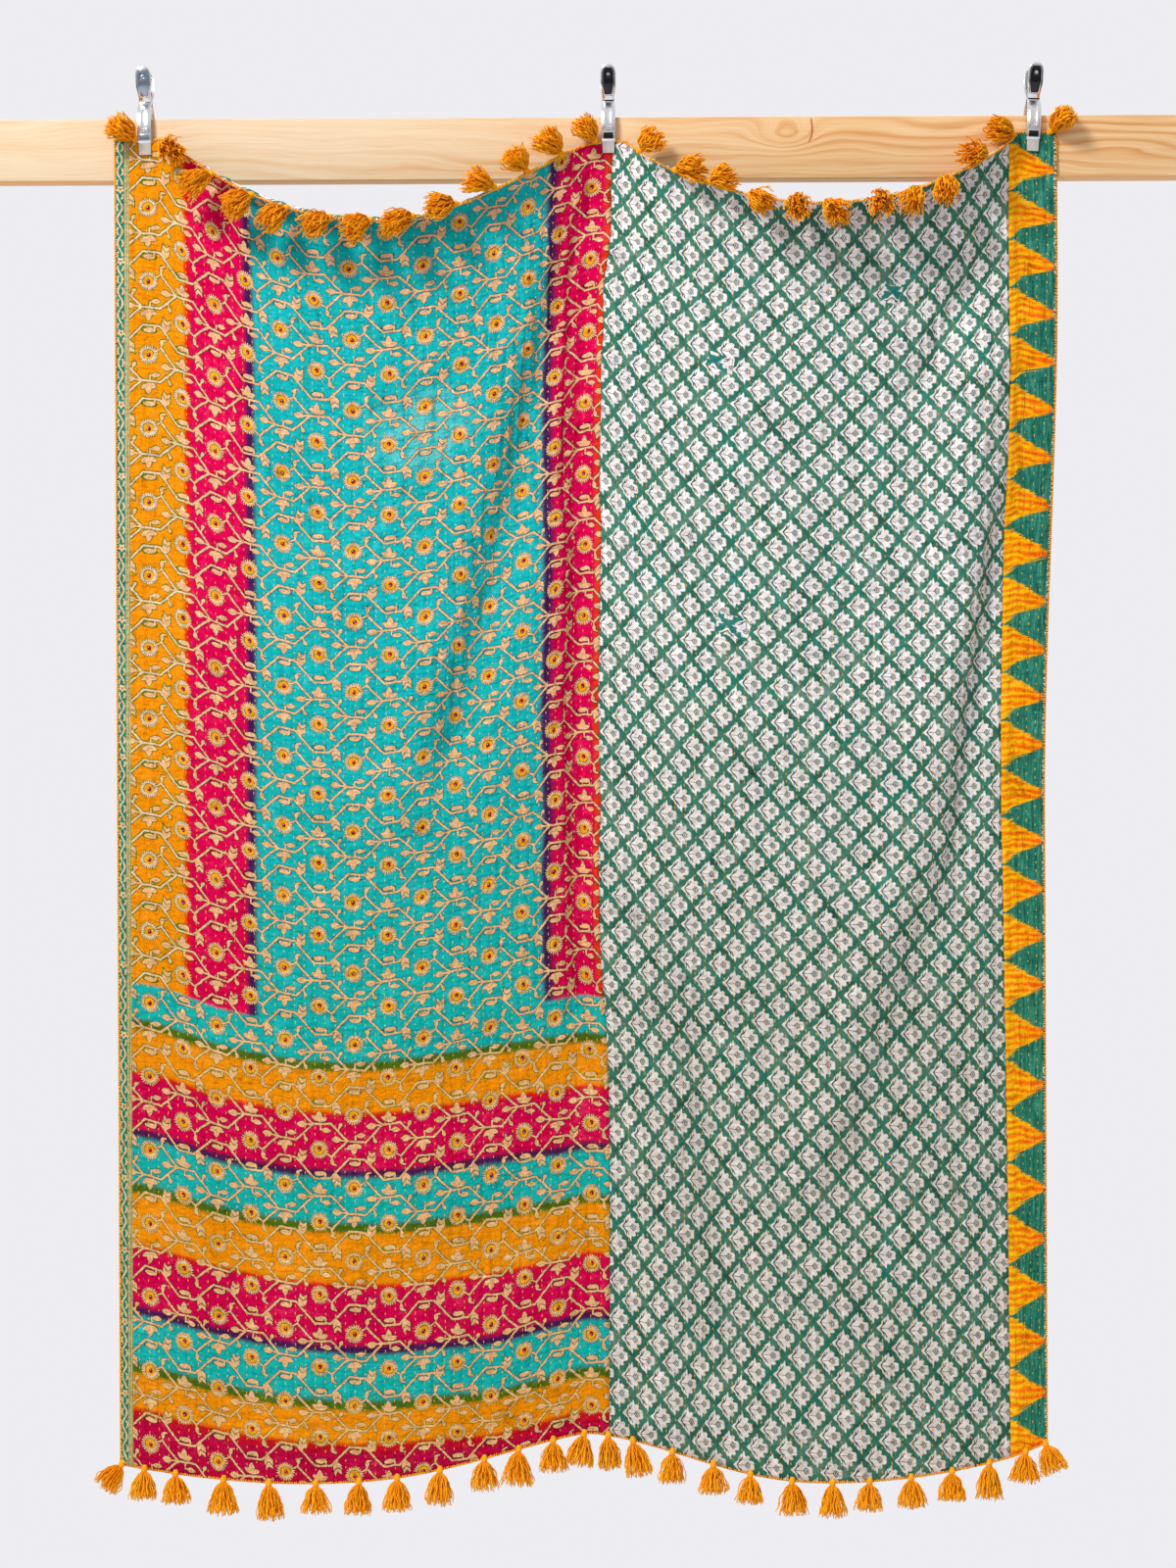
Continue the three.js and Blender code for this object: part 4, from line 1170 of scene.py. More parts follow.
STITCH_LENGTH = 0.0052
STITCH_PERIOD = 0.0115
BORDER_STITCH_PERIOD = 0.0137
STITCH_FROM_TOP = 0.006
STITCH_FROM_HEM = 0.008
STITCH_STRAY = (0.00025, 0.0011)
STITCH_SWAY = 0.0009
STITCH_HALF_WIDTH = 0.00075
STITCH_HEIGHT = 0.00085


def yarn_finish(name, pale, deep, shadow):
    """Twisted cotton yarn. The mesh keeps each strand's own shade and how deep in the tuft it lies, which
    paints it towards the shadow colour as painted shade.
    """
    material, shader, place = new_finish(name, Roughness=0.95, Specular_IOR_Level=0.04)
    shade = place.node("Attribute", {"attribute_name": "strand"}, None, 2)
    depth = place.node("Attribute", {"attribute_name": "depth"}, None, 2)
    fuzz = place.noise(900.0, 2.0)
    twist = (shade * 0.75 + fuzz * 0.5 - 0.12).ramp([(0.1, colour(deep)), (0.9, colour(pale))])
    # Painted shade: yarn deep in a tuft is painted towards the shadow colour.
    feed(shader, "Base Color", depth.tint(twist, colour(shadow)))
    raise_grain(shader, fuzz, 0.4, 0.0005)
    return material


def mark_strands(piece, shades, shadow_depths):
    """Keeps a shade and a depth for every point of a yarn piece; the depth sets its painted shade."""
    for name, values in (("strand", shades), ("depth", shadow_depths)):
        attribute = piece.data.attributes.new(name, "FLOAT", "POINT")
        attribute.data.foreach_set("value", np.asarray(values, np.float32))


def running_stitches(name, from_u, to_u, period, seed, finish):
    draw = np.random.default_rng(seed)
    rows = stitch_rows(from_u, to_u)
    places = []
    for row in rows[1:-1]:
        start = draw.uniform(STITCH_FROM_TOP, STITCH_FROM_TOP + period)
        v = np.arange(start, CLOTH_LENGTH - STITCH_FROM_HEM, period)
        v = v + draw.normal(0, STITCH_STRAY[1], v.size)
        sway = wrinkles(v, row, seed, 0.35, 1.0) * STITCH_SWAY
        places.append(np.stack([row + sway + draw.normal(0, STITCH_STRAY[0], v.size), v], axis=-1))
    places = np.concatenate(places)
    count = len(places)
    half = STITCH_LENGTH / 2 * draw.uniform(0.75, 1.25, count)
    slant = draw.normal(0, 0.10, count) * half
    u = places[:, 0]
    v = places[:, 1]
    # Two sunk ends, then a left, top and right point at each third of the dash
    aside = [0, -1, 0, 1, -1, 0, 1, 0]
    along = [-1, -0.45, -0.45, -0.45, 0.45, 0.45, 0.45, 1]
    above = [-0.4, -0.15, 1, -0.15, -0.15, 1, -0.15, -0.4]
    points = []
    for a, l, h in zip(aside, along, above):
        lift = STITCH_HEIGHT * h
        points.append(front_point(u + a * STITCH_HALF_WIDTH + l * slant, v + l * half, rows, lift))
    points = np.stack(points, axis=1).reshape(-1, 3)
    shape = [
        (0, 2, 1), (0, 3, 2), (0, 1, 3),
        (1, 2, 5, 4), (2, 3, 6, 5), (3, 1, 4, 6),
        (7, 4, 5), (7, 5, 6), (7, 6, 4),
    ]
    faces = [tuple(8 * i + n for n in face) for i in range(count) for face in shape]
    piece = new_piece(name, points, faces, [finish])
    mark_strands(piece, np.repeat(draw.uniform(0, 1, count), 8), np.zeros(8 * count))
    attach(piece, "root")
    return piece


quilting_yarn = yarn_finish("quilting_yarn", "FCC046", "F2A21C", "B8600A")
sari_stitches = running_stitches("sari_stitches", 0.0, SEAM_U, STITCH_PERIOD, 21, quilting_yarn)
leaf_stitches = running_stitches("leaf_stitches", SEAM_U, BORDER_U, STITCH_PERIOD, 22, quilting_yarn)
ikat_stitches = running_stitches(
    "ikat_stitches", BORDER_U, CLOTH_WIDTH, BORDER_STITCH_PERIOD, 23, quilting_yarn
)

# The raw edges are whipped all round with yarn in slanting stitches that wrap from front to back.
# Tassels of cut yarn are sewn into it along the top edge and the hem, each bound into a round head.

WHIP_PITCH = 0.0031
WHIP_REACH = 0.0028
WHIP_SLANT = 0.0046
WHIP_RADIUS = 0.00095
WHIP_OVERHANG = 0.0006
WHIP_STEPS = 7


def yarn_tubes(paths, radii, sides, guide):
    """Points and faces of closed tubes along paths with equal steps. No path runs along the guide."""
    strands, steps, _ = paths.shape
    along = unit(np.gradient(paths, axis=1))
    first = unit(np.cross(along, guide))
    second = np.cross(along, first)
    turn = 2 * np.pi * np.arange(sides) / sides
    spokes = first[..., None, :] * np.cos(turn)[:, None] + second[..., None, :] * np.sin(turn)[:, None]
    points = paths[:, :, None, :] + spokes * np.asarray(radii)[..., None, None]
    ring = np.arange(sides)
    after = (ring + 1) % sides
    step = np.arange(steps - 1)[:, None] * sides
    quads = np.stack([step + ring, step + after, step + sides + after, step + sides + ring], axis=-1)
    quads = quads.reshape(-1, 4)
    start = np.arange(strands)[:, None, None] * (steps * sides)
    faces = (start + quads).reshape(-1, 4).tolist()
    caps = (start[:, 0] + ring[::-1]).tolist() + (start[:, 0] + (steps - 1) * sides + ring).tolist()
    return points.reshape(-1, 3), faces + caps


class YarnPiece:
    """Gathers the yarns of one piece until its mesh is made."""

    def __init__(self):
        self.points = []
        self.faces = []
        self.shades = []
        self.shadow_depths = []
        self.count = 0

    def add(self, paths, radii, sides, guide, shades, shadow_depths):
        points, faces = yarn_tubes(paths, radii, sides, guide)
        per_strand = paths.shape[1] * sides
        self.points.append(points)
        self.faces += [[n + self.count for n in face] for face in faces]
        self.shades.append(np.repeat(shades, per_strand))
        self.shadow_depths.append(np.repeat(shadow_depths, sides, axis=1).ravel())
        self.count += len(points)

    def piece(self, name, finish, *nodes):
        made = new_piece(name, np.concatenate(self.points), self.faces, [finish])
        mark_strands(made, np.concatenate(self.shades), np.concatenate(self.shadow_depths))
        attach(made, "root")
        if nodes:
            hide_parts(*nodes)
        return made


def whipped_edge(yarn, places, inward, draw):
    """Slanting stitches round an edge, at places u, v along it. inward points into the cloth."""
    count = len(places)
    jitter = draw.uniform(0.75, 1.25, count)
    along = np.array((-inward[1], inward[0]))
    turn = np.linspace(-0.5, 0.5, WHIP_STEPS)
    paths = []
    for share in turn:
        wrap = np.cos(np.pi * share)
        into = WHIP_REACH * jitter * (1 - wrap) - WHIP_OVERHANG * wrap
        spot = places + into[:, None] * inward + (WHIP_SLANT * share) * along
        lift = np.sin(np.pi * share) * (HALF + 0.0004)
        paths.append(cloth_point(spot[:, 0], spot[:, 1]) + cloth_normal(*spot.T) * lift)
    radii = np.full((count, WHIP_STEPS), WHIP_RADIUS)
    radii[:, 0] *= 0.6
    radii[:, -1] *= 0.6
    shades = draw.uniform(0, 1, count)
    guide = (abs(along[0]), 0.0, abs(along[1]))
    yarn.add(np.stack(paths, axis=1), radii, 4, guide, shades, np.zeros((count, WHIP_STEPS)))


def edge_places(from_uv, to_uv, draw):
    length = math.dist(from_uv, to_uv)
    count = int(length / WHIP_PITCH)
    share = (np.arange(count) + 0.5 + draw.uniform(-0.25, 0.25, count)) / count
    return np.array(from_uv) + share[:, None] * (np.array(to_uv) - np.array(from_uv))


TASSEL_NECK = 0.001
TASSEL_HEAD = 0.0105
TASSEL_HEAD_RADIUS = 0.0042
STRANDS = 104
STRAND_STEPS = 10
STRAND_RADIUS = 0.00092
HEAD_WRAPS = 9
NECK_RADII = (0.0024, 0.0030, 0.0042, 0.0036)
WRAP_RADIUS = 0.0010
FULLER_STRAND = 1.25
BELL_POWER = 0.60
SKIRT_START = TASSEL_NECK + TASSEL_HEAD * 0.8
# Core of a hollow skirt, painted wholly in the shadow colour as painted shade: its places along the skirt
# and its radii, as shares
SHADOW_CORE_PLACES = np.array((0.0, 0.12, 0.35, 0.62, 0.72))
SHADOW_CORE_RADII = np.array((0.14, 0.25, 0.40, 0.46, 0.08))
HEM_ROOT = (0.0, -0.0055, 0.0)
ROOT_INSIDE_HEM = 0.0065
ROOT_INSIDE_TOP = 0.003

# Tassels along the top edge: x of the root, the skirt's angle from the front, and its tilt to the viewer
TOP_TASSELS = (
    (-0.652, 140, 40), (-0.610, 310, 62), (-0.538, 212, 36), (-0.479, 214, 36), (-0.427, 219, 38),
    (-0.364, 210, 44), (-0.305, 212, 44), (-0.243, 202, 42), (-0.180, 188, 38), (-0.125, 162, 36),
    (-0.080, 130, 32), (-0.031, 138, 34), (0.018, 130, 40), (0.077, 42, 34), (0.125, 2, 38),
    (0.173, 15, 40), (0.232, 330, 50), (0.299, 280, 72), (0.343, 310, 55), (0.423, 260, 70),
    (0.482, 240, 45), (0.526, 255, 48), (0.583, 175, 52), (0.626, 166, 38), (0.675, 50, 34),
)
HEM_TASSELS = (
    (-0.680, 232, 8), (-0.650, 268, 6), (-0.605, 272, 9), (-0.534, 269, 5), (-0.468, 273, 8),
    (-0.399, 270, 6), (-0.336, 266, 9), (-0.281, 271, 6), (-0.219, 268, 8), (-0.155, 272, 5),
    (-0.105, 267, 8), (-0.055, 270, 6), (-0.009, 260, 9), (0.025, 271, 5), (0.060, 280, 8),
    (0.118, 269, 6), (0.177, 272, 9), (0.231, 268, 5), (0.291, 271, 8), (0.350, 269, 6),
    (0.404, 267, 8), (0.464, 272, 5), (0.524, 270, 9), (0.579, 268, 6), (0.633, 264, 8),
    (0.660, 290, 6),
)

# Each kind of tassel: skirt, how far that varies, spread, droop, size of kinks, and whether it is hollow
# round a core painted in the shadow colour
TOP_KIND = (0.043, (0.90, 1.10), 0.021, 0.005, 0.0013, False)
HEM_KIND = (0.044, (0.88, 1.14), 0.021, 0.0, 0.0010, True)


def u_at_x(x, v):
    row = round((v - station_v[0]) / ROW_STATION)
    return float(np.interp(x, station_x[row], station_u))


# How far forward the cloth's face comes at each small square of x and z, for yarn that lies on it
panel_points = []
for panel in (sari_panel, leaf_panel, ikat_border):
    coordinates = np.zeros(3 * len(panel.data.vertices))
    panel.data.vertices.foreach_get("co", coordinates)
    panel_points.append(coordinates.reshape(-1, 3))
panel_points = np.concatenate(panel_points)
DEPTH_CELL = 0.008
DEPTH_CELLS = (210, 290)
DEPTH_CORNER = np.array((-0.80, -2.10))
depth_cells = np.floor((panel_points[:, ::2] - DEPTH_CORNER) / DEPTH_CELL).astype(int)
face_depth = np.full(DEPTH_CELLS, RAIL_FRONT)
np.minimum.at(face_depth, (depth_cells[:, 0], depth_cells[:, 1]), panel_points[:, 1])


def laid_on_cloth(paths, lift):
    """Strand points, moved forwards where they would sink into the cloth or the rail."""
    cells = np.floor((paths[..., ::2] - DEPTH_CORNER) / DEPTH_CELL).astype(int)
    cells = np.clip(cells, 0, np.array(DEPTH_CELLS) - 1)
    face = face_depth[cells[..., 0], cells[..., 1]] - lift
    return np.stack([paths[..., 0], np.minimum(paths[..., 1], face), paths[..., 2]], axis=-1)


def wound_head(yarn, root, axis, side, other, draw):
    """A tassel's round head, wound with yarn over its neck."""
    turns = np.linspace(0, 2 * np.pi + 0.5, 12)
    wraps = []
    for share in np.linspace(0, 1, HEAD_WRAPS):
        radius = TASSEL_HEAD_RADIUS * (0.62 + 0.38 * math.sin(math.pi * min(share * 1.15, 1.0)))
        twist = turns + draw.uniform(0, 6)
        height = TASSEL_NECK + share * TASSEL_HEAD + 0.0008 * np.sin(twist)
        ring = root + axis * height[:, None]
        wraps.append(ring + radius * (side * np.cos(twist)[:, None] + other * np.sin(twist)[:, None]))
    wrap_shape = (HEAD_WRAPS, len(turns))
    wrap_shades = draw.uniform(0.2, 1, HEAD_WRAPS)
    yarn.add(np.stack(wraps), np.full(wrap_shape, WRAP_RADIUS), 4, axis, wrap_shades, np.zeros(wrap_shape))
    neck = root + axis * np.linspace(-0.001, TASSEL_NECK + TASSEL_HEAD, 4)[:, None]
    # The neck is painted a little towards the shadow colour, as painted shade.
    yarn.add(neck[None], np.array([NECK_RADII]), 6, side, [0.6], np.full((1, 4), 0.1))


def tassel(yarn, root, pointing, kind, draw):
    """One tassel: a head wound with yarn, and a skirt of crimped strands that spreads like a bell."""
    usual_skirt, vary, spread, droop, kink, hollow = kind
    skirt = usual_skirt * draw.uniform(*vary)
    axis = unit(np.array(pointing))
    side = unit(np.cross(axis, (0.0, 0.0, 1.0) if abs(axis[2]) < 0.9 else (1.0, 0.0, 0.0)))
    other = np.cross(axis, side)
    wound_head(yarn, root, axis, side, other, draw)
    # A bell painted wholly in the shadow colour fills the skirt, as painted shade between the strands.
    if hollow:
        shadow_core = root + axis * (SKIRT_START + skirt * SHADOW_CORE_PLACES)[:, None]
        shadow_core = laid_on_cloth(shadow_core[None], 0.5 * spread)
        yarn.add(shadow_core, spread * SHADOW_CORE_RADII[None], 8, side, [0.4], np.full((1, len(SHADOW_CORE_RADII)), 1.0))
    share = np.linspace(0, 1, STRAND_STEPS)
    out = draw.uniform(0, 1, STRANDS) ** (0.36 if hollow else 0.60)
    around = draw.uniform(0, 2 * np.pi, STRANDS)
    spoke = side * np.cos(around)[:, None] + other * np.sin(around)[:, None]
    start = root + axis * SKIRT_START + spoke * (out * TASSEL_HEAD_RADIUS * 0.8)[:, None]
    length = skirt * draw.uniform(0.84, 1.06, STRANDS) * (1 - 0.08 * out)
    closing = draw.uniform(0.0, 0.25)
    bell = share**BELL_POWER * (1 - closing * share**2)
    reach = spread * out * draw.uniform(0.85, 1.12, STRANDS)
    paths = start[:, None, :] + (length[:, None] * share)[..., None] * axis
    paths = paths + (reach[:, None] * bell)[..., None] * spoke[:, None, :]
    paths[..., 2] -= droop * share**2 * draw.uniform(0.4, 1.5, STRANDS)[:, None]
    for wave in (0.8, 1.5, 2.2):
        phase = draw.uniform(0, 2 * np.pi, (2, STRANDS, 1))
        size = kink * draw.uniform(0.3, 1.2, (STRANDS, 1)) * np.minimum(4 * share, 1)
        paths += (size * np.sin(2 * np.pi * wave * share + phase[0]))[..., None] * side
        paths += (size * np.sin(2 * np.pi * wave * share + phase[1]))[..., None] * other
    paths = laid_on_cloth(paths, draw.uniform(0.0012, 0.0060, (STRANDS, 1)))
    radii = STRAND_RADIUS * draw.uniform(0.8, 1.15, (STRANDS, 1)) * np.ones(STRAND_STEPS)
    if not hollow:
        radii *= FULLER_STRAND
    radii[:, -1] *= 0.7
    # Painted shade: strands deep in the skirt and near the head are painted darker.
    depth = np.clip(1.25 - out[:, None] * 0.8 - share * 0.75, 0, 1)
    yarn.add(paths, radii, 3, side, draw.uniform(0, 1, STRANDS), depth)


def tasselled_edge(name, node, from_u, to_u, at_hem, seed):
    draw = np.random.default_rng(seed)
    yarn = YarnPiece()
    edge_v = CLOTH_LENGTH if at_hem else 0.0
    inward = np.array((0.0, -1.0 if at_hem else 1.0))
    whipped_edge(yarn, edge_places((from_u, edge_v), (to_u, edge_v), draw), inward, draw)
    for x, angle, tilt in HEM_TASSELS if at_hem else TOP_TASSELS:
        u = u_at_x(x, edge_v)
        if not from_u <= u < to_u:
            continue
        side = math.radians(angle)
        out = math.radians(tilt)
        pointing = (math.cos(side) * math.cos(out), -math.sin(out), math.sin(side) * math.cos(out))
        if at_hem:
            root = cloth_point(u, edge_v - ROOT_INSIDE_HEM) + HEM_ROOT
        else:
            root = cloth_point(u, edge_v + ROOT_INSIDE_TOP)
        tassel(yarn, root, pointing, HEM_KIND if at_hem else TOP_KIND, draw)
    return yarn.piece(name, tassel_yarn, node)


tassel_yarn = yarn_finish("tassel_yarn", "FFBA28", "FF9E0E", "EE8408")
top_left = tasselled_edge("top_tassels_left", "tassels_top_left", 0.0, SEAM_U, False, 31)
top_right = tasselled_edge("top_tassels_right", "tassels_top_right", SEAM_U, CLOTH_WIDTH, False, 32)
hem_left = tasselled_edge("hem_tassels_left", "tassels_hem_left", 0.0, SEAM_U, True, 33)
hem_right = tasselled_edge("hem_tassels_right", "tassels_hem_right", SEAM_U, CLOTH_WIDTH, True, 34)

side_draw = np.random.default_rng(35)
for name, edge_u, inward_u in (("left_edging", 0.0, 1.0), ("right_edging", CLOTH_WIDTH, -1.0)):
    yarn = YarnPiece()
    places = edge_places((edge_u, 0.0), (edge_u, CLOTH_LENGTH), side_draw)
    whipped_edge(yarn, places, np.array((inward_u, 0.0)), side_draw)
    yarn.piece(name, tassel_yarn)

# Each clip is two levers of pressed steel on a coil spring, which pinch the quilt against the rail.
# A lever's head is dished and pierced inside a raised rim, its arm is ribbed, and its jaw is a flat plate.
# Its grooves, dish and neck are painted dark steel as painted shade and reflection.

CLIP_PLACES = {"left": (-0.641, -1.5), "middle": (0.034, 0.0), "right": (0.652, 3.0)}
CLIP_PLANE = -0.0175
FRONT_JAW = 0.0227
BACK_JAW = 0.0178
LEVER_SHEET = 0.0016
LEVER_SLIMNESS = 0.91
JAW_BOTTOM = -0.0085
JAW_TOP = 0.008
FLANGE = 0.0045
FLANGE_START = 0.0085
FLANGE_SIDES = 0.004
FLANGE_TOP = 0.115
PRESSED_MIDDLE = 0.001
LEVER_SHEET_SLACK = 0.0004
LEVER_ROUNDING = 0.0003
HOLE_HEIGHT = 0.106
HOLE_RADIUS = 0.0026
HOLE_FORWARD = 0.0225
DRILL_LENGTH = 0.02
SPRING_HEIGHT = 0.072
SPRING_RADIUS = 0.0076
SPRING_WIRE = 0.0010
SPRING_LENGTH = 0.014
SPRING_TURNS = 6

# Stations up a lever: height, distance beyond the jaw, and width
ARM_STATIONS = (
    (0.0080, 0.0000, 0.0186), (0.0100, 0.0012, 0.0200), (0.0140, 0.0025, 0.0200), (0.0230, 0.0034, 0.0200),
    (0.0320, 0.0040, 0.0200), (0.0500, 0.0020, 0.0200), (0.0600, -0.0042, 0.0196),
)
# The same for its head, with the distance from the rail's middle plane
HEAD_STATIONS = (
    (0.0690, 0.0100, 0.0174), (0.0720, 0.0079, 0.0170), (0.0770, 0.0107, 0.0166), (0.0840, 0.0146, 0.0192),
    (0.0920, 0.0190, 0.0220), (0.1000, 0.0205, 0.0222), (0.1085, 0.0220, 0.0220), (0.1130, 0.0228, 0.0205),
    (0.1165, 0.0234, 0.0172), (0.1187, 0.0238, 0.0122), (0.1200, 0.0240, 0.0056),
)
BRIGHT = 0
# Slot of the dark steel painted into grooves, dishes and the neck as painted shade and reflection
SHADED = 1
JAW = 2
# Pressed forms: the heights each lies between, then the width, rise and paint of each step into it. The
# dark paint is painted shade and reflection.
PRESSINGS = (
    (
        (0.0770, 0.1187),
        ((0.0012, 0.0, SHADED), (0.0006, -0.0004, BRIGHT), (0.0011, 0.0004, SHADED), (0.0005, -0.0012, None)),
    ),
    # The neck between head and arm is only painted dark, as painted shade in the bend.
    ((0.0690, 0.0720), ((None, None, SHADED),)),
    (
        (0.0230, 0.0600),
        ((0.0022, 0.0, None), (0.0006, -0.0008, None), (0.0022, 0.0, None), (0.0006, 0.0009, None)),
    ),
    ((0.0100, 0.0230), ((0.0022, 0.0, None), (0.0006, -0.0016, SHADED))),
)


def select_only(kind, test):
    """In edit mode, selects the faces or edges whose middle passes a test."""
    bpy.ops.mesh.select_mode(type=kind)
    bpy.ops.mesh.select_all(action="DESELECT")
    bpy.ops.object.mode_set(mode="OBJECT")
    mesh = bpy.context.object.data
    if kind == "FACE":
        for face in mesh.polygons:
            face.select = bool(test(face.center))
    else:
        uses = {}
        for face in mesh.polygons:
            for key in face.edge_keys:
                uses[key] = uses.get(key, 0) + 1
        for edge in mesh.edges:
            ends = [mesh.vertices[i].co for i in edge.vertices]
            alone = uses[edge.key] == 1
            edge.select = bool(alone and test((ends[0] + ends[1]) / 2))
    bpy.ops.object.mode_set(mode="EDIT")


def paint_selected(slot):
    bpy.context.object.active_material_index = slot
    bpy.ops.object.material_slot_assign()


def drill_hole(lever):
    """Cuts the round hole through a lever's head."""
    bpy.ops.mesh.primitive_cylinder_add(vertices=10, radius=HOLE_RADIUS, depth=DRILL_LENGTH)
    drill = bpy.context.object
    bpy.ops.object.mode_set(mode="EDIT")
    bpy.ops.mesh.select_all(action="SELECT")
    bpy.ops.transform.rotate(value=math.pi / 2, orient_axis="X", center_override=(0, 0, 0))
    bpy.ops.transform.translate(value=(0.0, -HOLE_FORWARD, HOLE_HEIGHT))
    bpy.ops.object.mode_set(mode="OBJECT")
    bpy.ops.object.select_all(action="DESELECT")
    bpy.context.view_layer.objects.active = lever
    lever.select_set(True)
    hole = lever.modifiers.new("hole", "BOOLEAN")
    hole.object = drill
    hole.operation = "DIFFERENCE"
    bpy.ops.object.modifier_apply(modifier="hole")
    bpy.data.objects.remove(drill)


def on_flange(middle):
    """Whether an edge of the lever's face is one that the flange folds back from."""
    return middle.z > FLANGE_START and (abs(middle.x) > FLANGE_SIDES or middle.z > FLANGE_TOP)


def pressed_lever(jaw, finishes):
    """A lever whose face looks along -Y, standing where the front one does."""
    bpy.ops.object.select_all(action="DESELECT")
    bpy.ops.mesh.primitive_plane_add(size=1.0)
    lever = bpy.context.object
    for finish in finishes:
        lever.data.materials.append(finish)
    stations = [(z, jaw + out, width) for z, out, width in ARM_STATIONS] + list(HEAD_STATIONS)
    stations = [(z, out, width * LEVER_SLIMNESS) for z, out, width in stations]
    top, out, width = stations[0]
    face = out + LEVER_SHEET
    bpy.ops.object.mode_set(mode="EDIT")
    bpy.ops.mesh.select_all(action="SELECT")
    bpy.ops.transform.rotate(value=math.pi / 2, orient_axis="X", center_override=(0, 0, 0))
    bpy.ops.transform.resize(value=(width, 1.0, top - JAW_BOTTOM))
    bpy.ops.transform.translate(value=(0.0, -face, (top + JAW_BOTTOM) / 2))
    select_only("EDGE", lambda middle: middle.z > top / 2)
    for z, out, next_width in stations[1:]:
        step = (0.0, face - out - LEVER_SHEET, z - top)
        bpy.ops.mesh.extrude_region_move(TRANSFORM_OT_translate={"value": step})
        bpy.ops.transform.resize(value=(next_width / width, 1.0, 1.0), center_override=(0.0, 0.0, 0.0))
        top, face, width = z, out + LEVER_SHEET, next_width
    select_only("FACE", lambda middle: middle.z < JAW_TOP)
    paint_selected(JAW)
    select_only("EDGE", on_flange)
    bpy.ops.mesh.extrude_region_move(TRANSFORM_OT_translate={"value": (0.0, FLANGE, 0.0)})
    for (low, high), steps in PRESSINGS:
        select_only("FACE", lambda middle: low < middle.z < high and abs(middle.x) < PRESSED_MIDDLE)
        for width, rise, paint in steps:
            if width is not None:
                bpy.ops.mesh.inset(thickness=width, depth=rise)
            if paint is not None:
                paint_selected(paint)
    bpy.ops.object.mode_set(mode="OBJECT")
    sheet = lever.modifiers.new("sheet", "SOLIDIFY")
    sheet.thickness = LEVER_SHEET - LEVER_SHEET_SLACK
    sheet.offset = -1.0
    bpy.ops.object.modifier_apply(modifier="sheet")
    drill_hole(lever)
    edges = lever.modifiers.new("edges", "BEVEL")
    edges.width = LEVER_ROUNDING
    edges.segments = 2
    edges.limit_method = "ANGLE"
    edges.angle_limit = math.radians(40)
    bpy.ops.object.modifier_apply(modifier="edges")
    bpy.ops.object.shade_smooth_by_angle(angle=math.radians(50))
    return lever


def coil_spring(finish):
    bpy.ops.object.select_all(action="DESELECT")
    bpy.ops.mesh.primitive_circle_add(vertices=8, radius=SPRING_WIRE)
    spring = bpy.context.object
    bpy.ops.object.mode_set(mode="EDIT")
    bpy.ops.mesh.select_all(action="SELECT")
    bpy.ops.transform.rotate(value=math.pi / 2, orient_axis="X", center_override=(0, 0, 0))
    start = SPRING_WIRE - SPRING_LENGTH / 2
    bpy.ops.transform.translate(value=(start, 0.0, SPRING_RADIUS - SPRING_WIRE))
    bpy.ops.object.mode_set(mode="OBJECT")
    winding = spring.modifiers.new("winding", "SCREW")
    winding.axis = "X"
    winding.iterations = SPRING_TURNS
    winding.screw_offset = (SPRING_LENGTH - 2 * SPRING_WIRE) / SPRING_TURNS
    winding.steps = 14
    winding.render_steps = 14
    bpy.ops.object.modifier_apply(modifier="winding")
    bpy.ops.object.mode_set(mode="EDIT")
    bpy.ops.mesh.select_all(action="SELECT")
    bpy.ops.mesh.fill_holes(sides=0)
    bpy.ops.mesh.select_all(action="SELECT")
    bpy.ops.mesh.normals_make_consistent(inside=False)
    bpy.ops.transform.translate(value=(0.0, 0.0, SPRING_HEIGHT))
    bpy.ops.object.mode_set(mode="OBJECT")
    bpy.ops.object.shade_smooth_by_angle(angle=math.radians(50))
    spring.data.materials.append(finish)
    return spring


def steel_finish(name, shade, roughness, metallic=1.0):
    material, shader, place = new_finish(name, Metallic=metallic)
    smears = place.noise(260.0, 2.0)
    dull = tuple(0.82 * c for c in colour(shade)[:3]) + (1.0,)
    feed(shader, "Base Color", smears.tint(colour(shade), dull))
    feed(shader, "Roughness", smears * 0.10 + roughness)
    return material


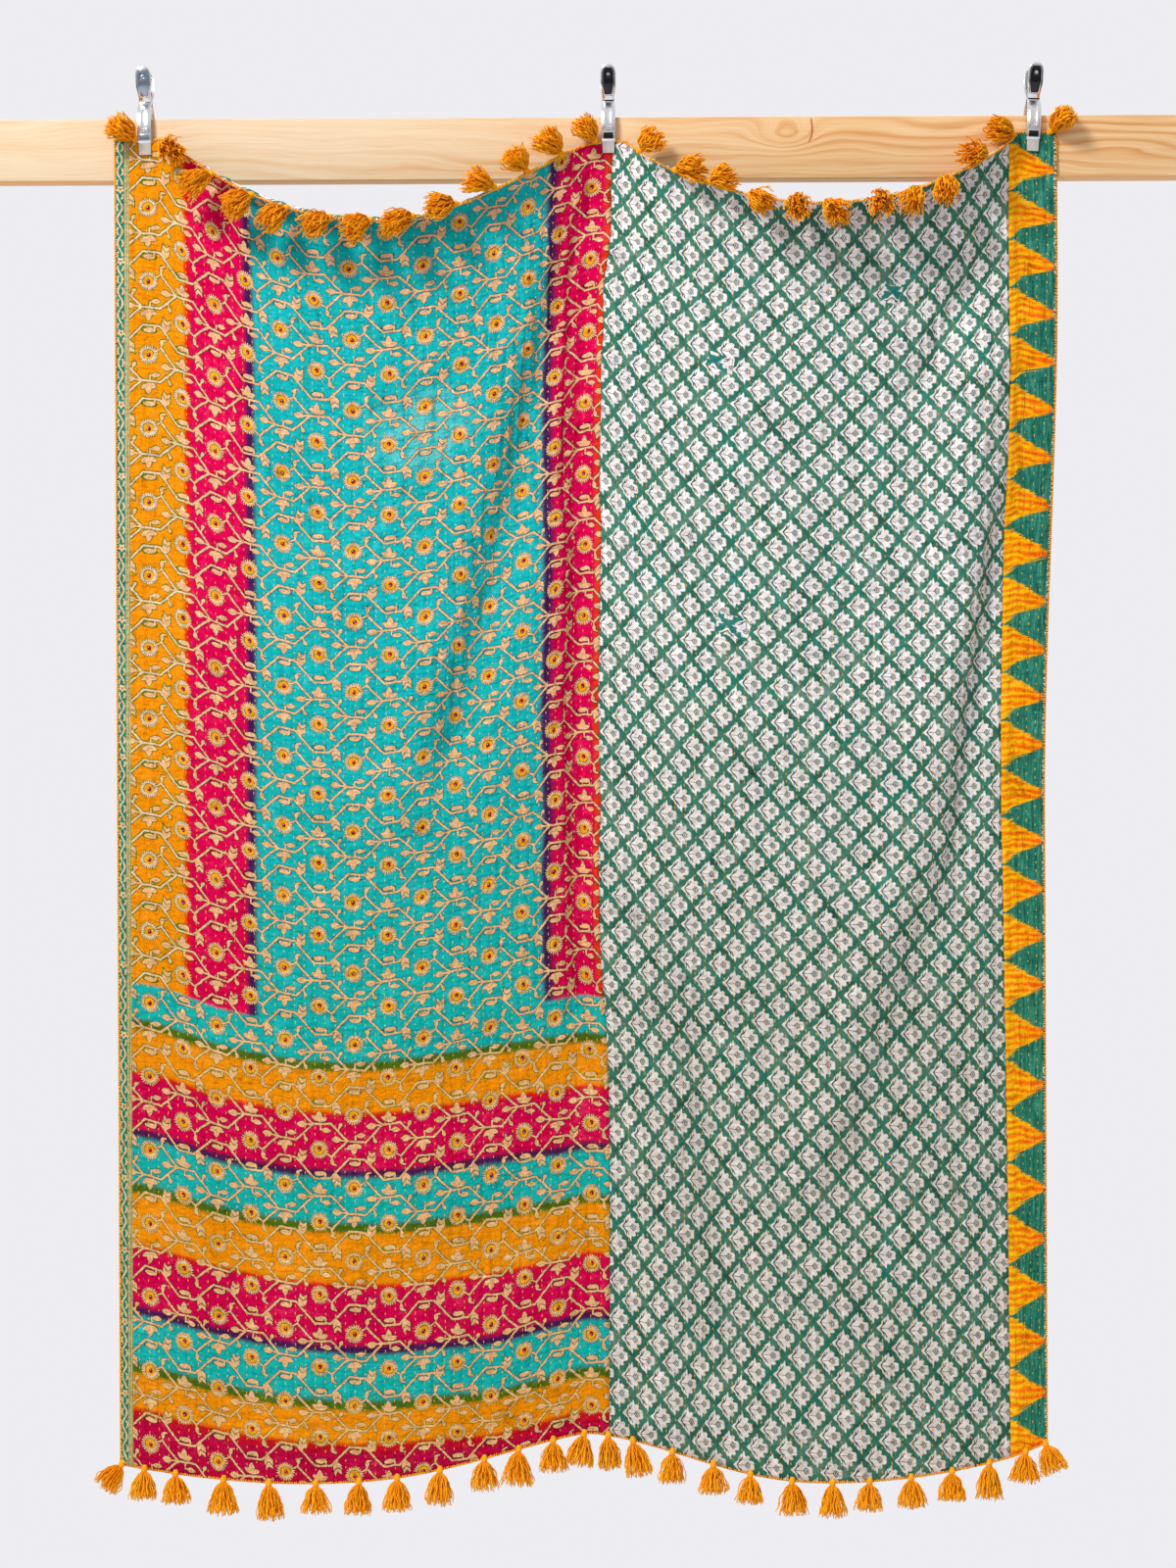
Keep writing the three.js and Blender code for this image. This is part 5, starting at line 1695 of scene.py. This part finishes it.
bright_steel = steel_finish("bright_steel", "F0F1F3", 0.17)
jaw_steel = steel_finish("jaw_steel", "DDD7CD", 0.50, 0.55)
# Painted shade and reflection: the dark steel in the heads' dishes, grooves and necks.
shaded_dish = steel_finish("shaded_dish", "3B3A3E", 0.16)
# Painted reflection: a pale blue dish for the left clip's front head.
blue_reflection_dish = steel_finish("blue_reflection_dish", "A9B4C2", 0.22)
patterns = {
    "front": pressed_lever(FRONT_JAW, [bright_steel, shaded_dish, jaw_steel]),
    "back": pressed_lever(BACK_JAW, [bright_steel, shaded_dish, jaw_steel]),
    "spring": coil_spring(bright_steel),
}
for clip, (clip_x, tilt) in CLIP_PLACES.items():
    stand = Matrix.Translation((clip_x, CLIP_PLANE, 0.0)) @ Matrix.Rotation(math.radians(tilt), 4, "Y")
    for part, pattern in patterns.items():
        half_turn = Matrix.Rotation(math.pi if part == "back" else 0.0, 4, "Z")
        mesh = pattern.data.copy()
        mesh.transform(stand @ half_turn)
        if clip == "left" and part == "front":
            mesh.materials[1] = blue_reflection_dish
        piece = bpy.data.objects.new(f"{clip}_clip_{part}", mesh)
        bpy.context.scene.collection.objects.link(piece)
        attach(piece, "root")
        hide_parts(f"clip_{clip}_{part}")
for pattern in patterns.values():
    bpy.data.objects.remove(pattern)

# The stage is a pale floor below the quilt, soft light from the upper left and a bright room all round.
# The camera stands level with the quilt's middle, turned by a quarter of a degree.

FLOOR_DROP = 0.60
bpy.ops.object.select_all(action="DESELECT")
bpy.ops.mesh.primitive_plane_add(size=7.0, location=(0.0, -2.5, cad_box[0].z - FLOOR_DROP))
floor = bpy.context.object
floor.name = "floor"
floor_paint, floor_shader, floor_place = new_finish("floor_paint", Roughness=0.8)
feed(floor_shader, "Base Color", floor_place.noise(3.0).tint(colour("DEDEE0"), colour("E4E4E6")))
floor.data.materials.append(floor_paint)

world = bpy.data.worlds.new("room")
bpy.context.scene.world = world
world.use_nodes = True
room = Dye(world.node_tree)
direction = room.node("TexCoord", None, None, "Object")
overhead = direction.part("Z").fade(-0.75, 0.65).tint(colour("3A3A3E"), colour("E2E2E4"))
room_light = direction.part("Y").fade(-0.10, 0.55).tint(overhead, colour("EEEDF1"))
world.node_tree.links.new(room_light.socket, world.node_tree.nodes["Background"].inputs["Color"])

KEY_PLACE = Vector((-2.9, -3.9, 3.3))
KEY_TARGET = Vector((0.0, 0.0, -0.9))
key_lamp = bpy.data.lights.new("key", "AREA")
key_lamp.size = 1.5
key_lamp.energy = 315.0
key_light = bpy.data.objects.new("key", key_lamp)
key_light.location = KEY_PLACE
key_light.rotation_euler = (KEY_TARGET - KEY_PLACE).to_track_quat("-Z", "Y").to_euler()
bpy.context.scene.collection.objects.link(key_light)

CAMERA_PLACE = (0.0, -4.54, -0.9276)
CAMERA_TURN = math.radians(0.26)
camera_data = bpy.data.cameras.new("camera")
camera_data.lens = 70.9
camera_data.sensor_width = 36.0
camera = bpy.data.objects.new("camera", camera_data)
camera.location = CAMERA_PLACE
camera.rotation_euler = (math.pi / 2, CAMERA_TURN, 0.0)
bpy.context.scene.collection.objects.link(camera)
bpy.context.scene.camera = camera
bpy.context.scene.view_settings.view_transform = "Standard"
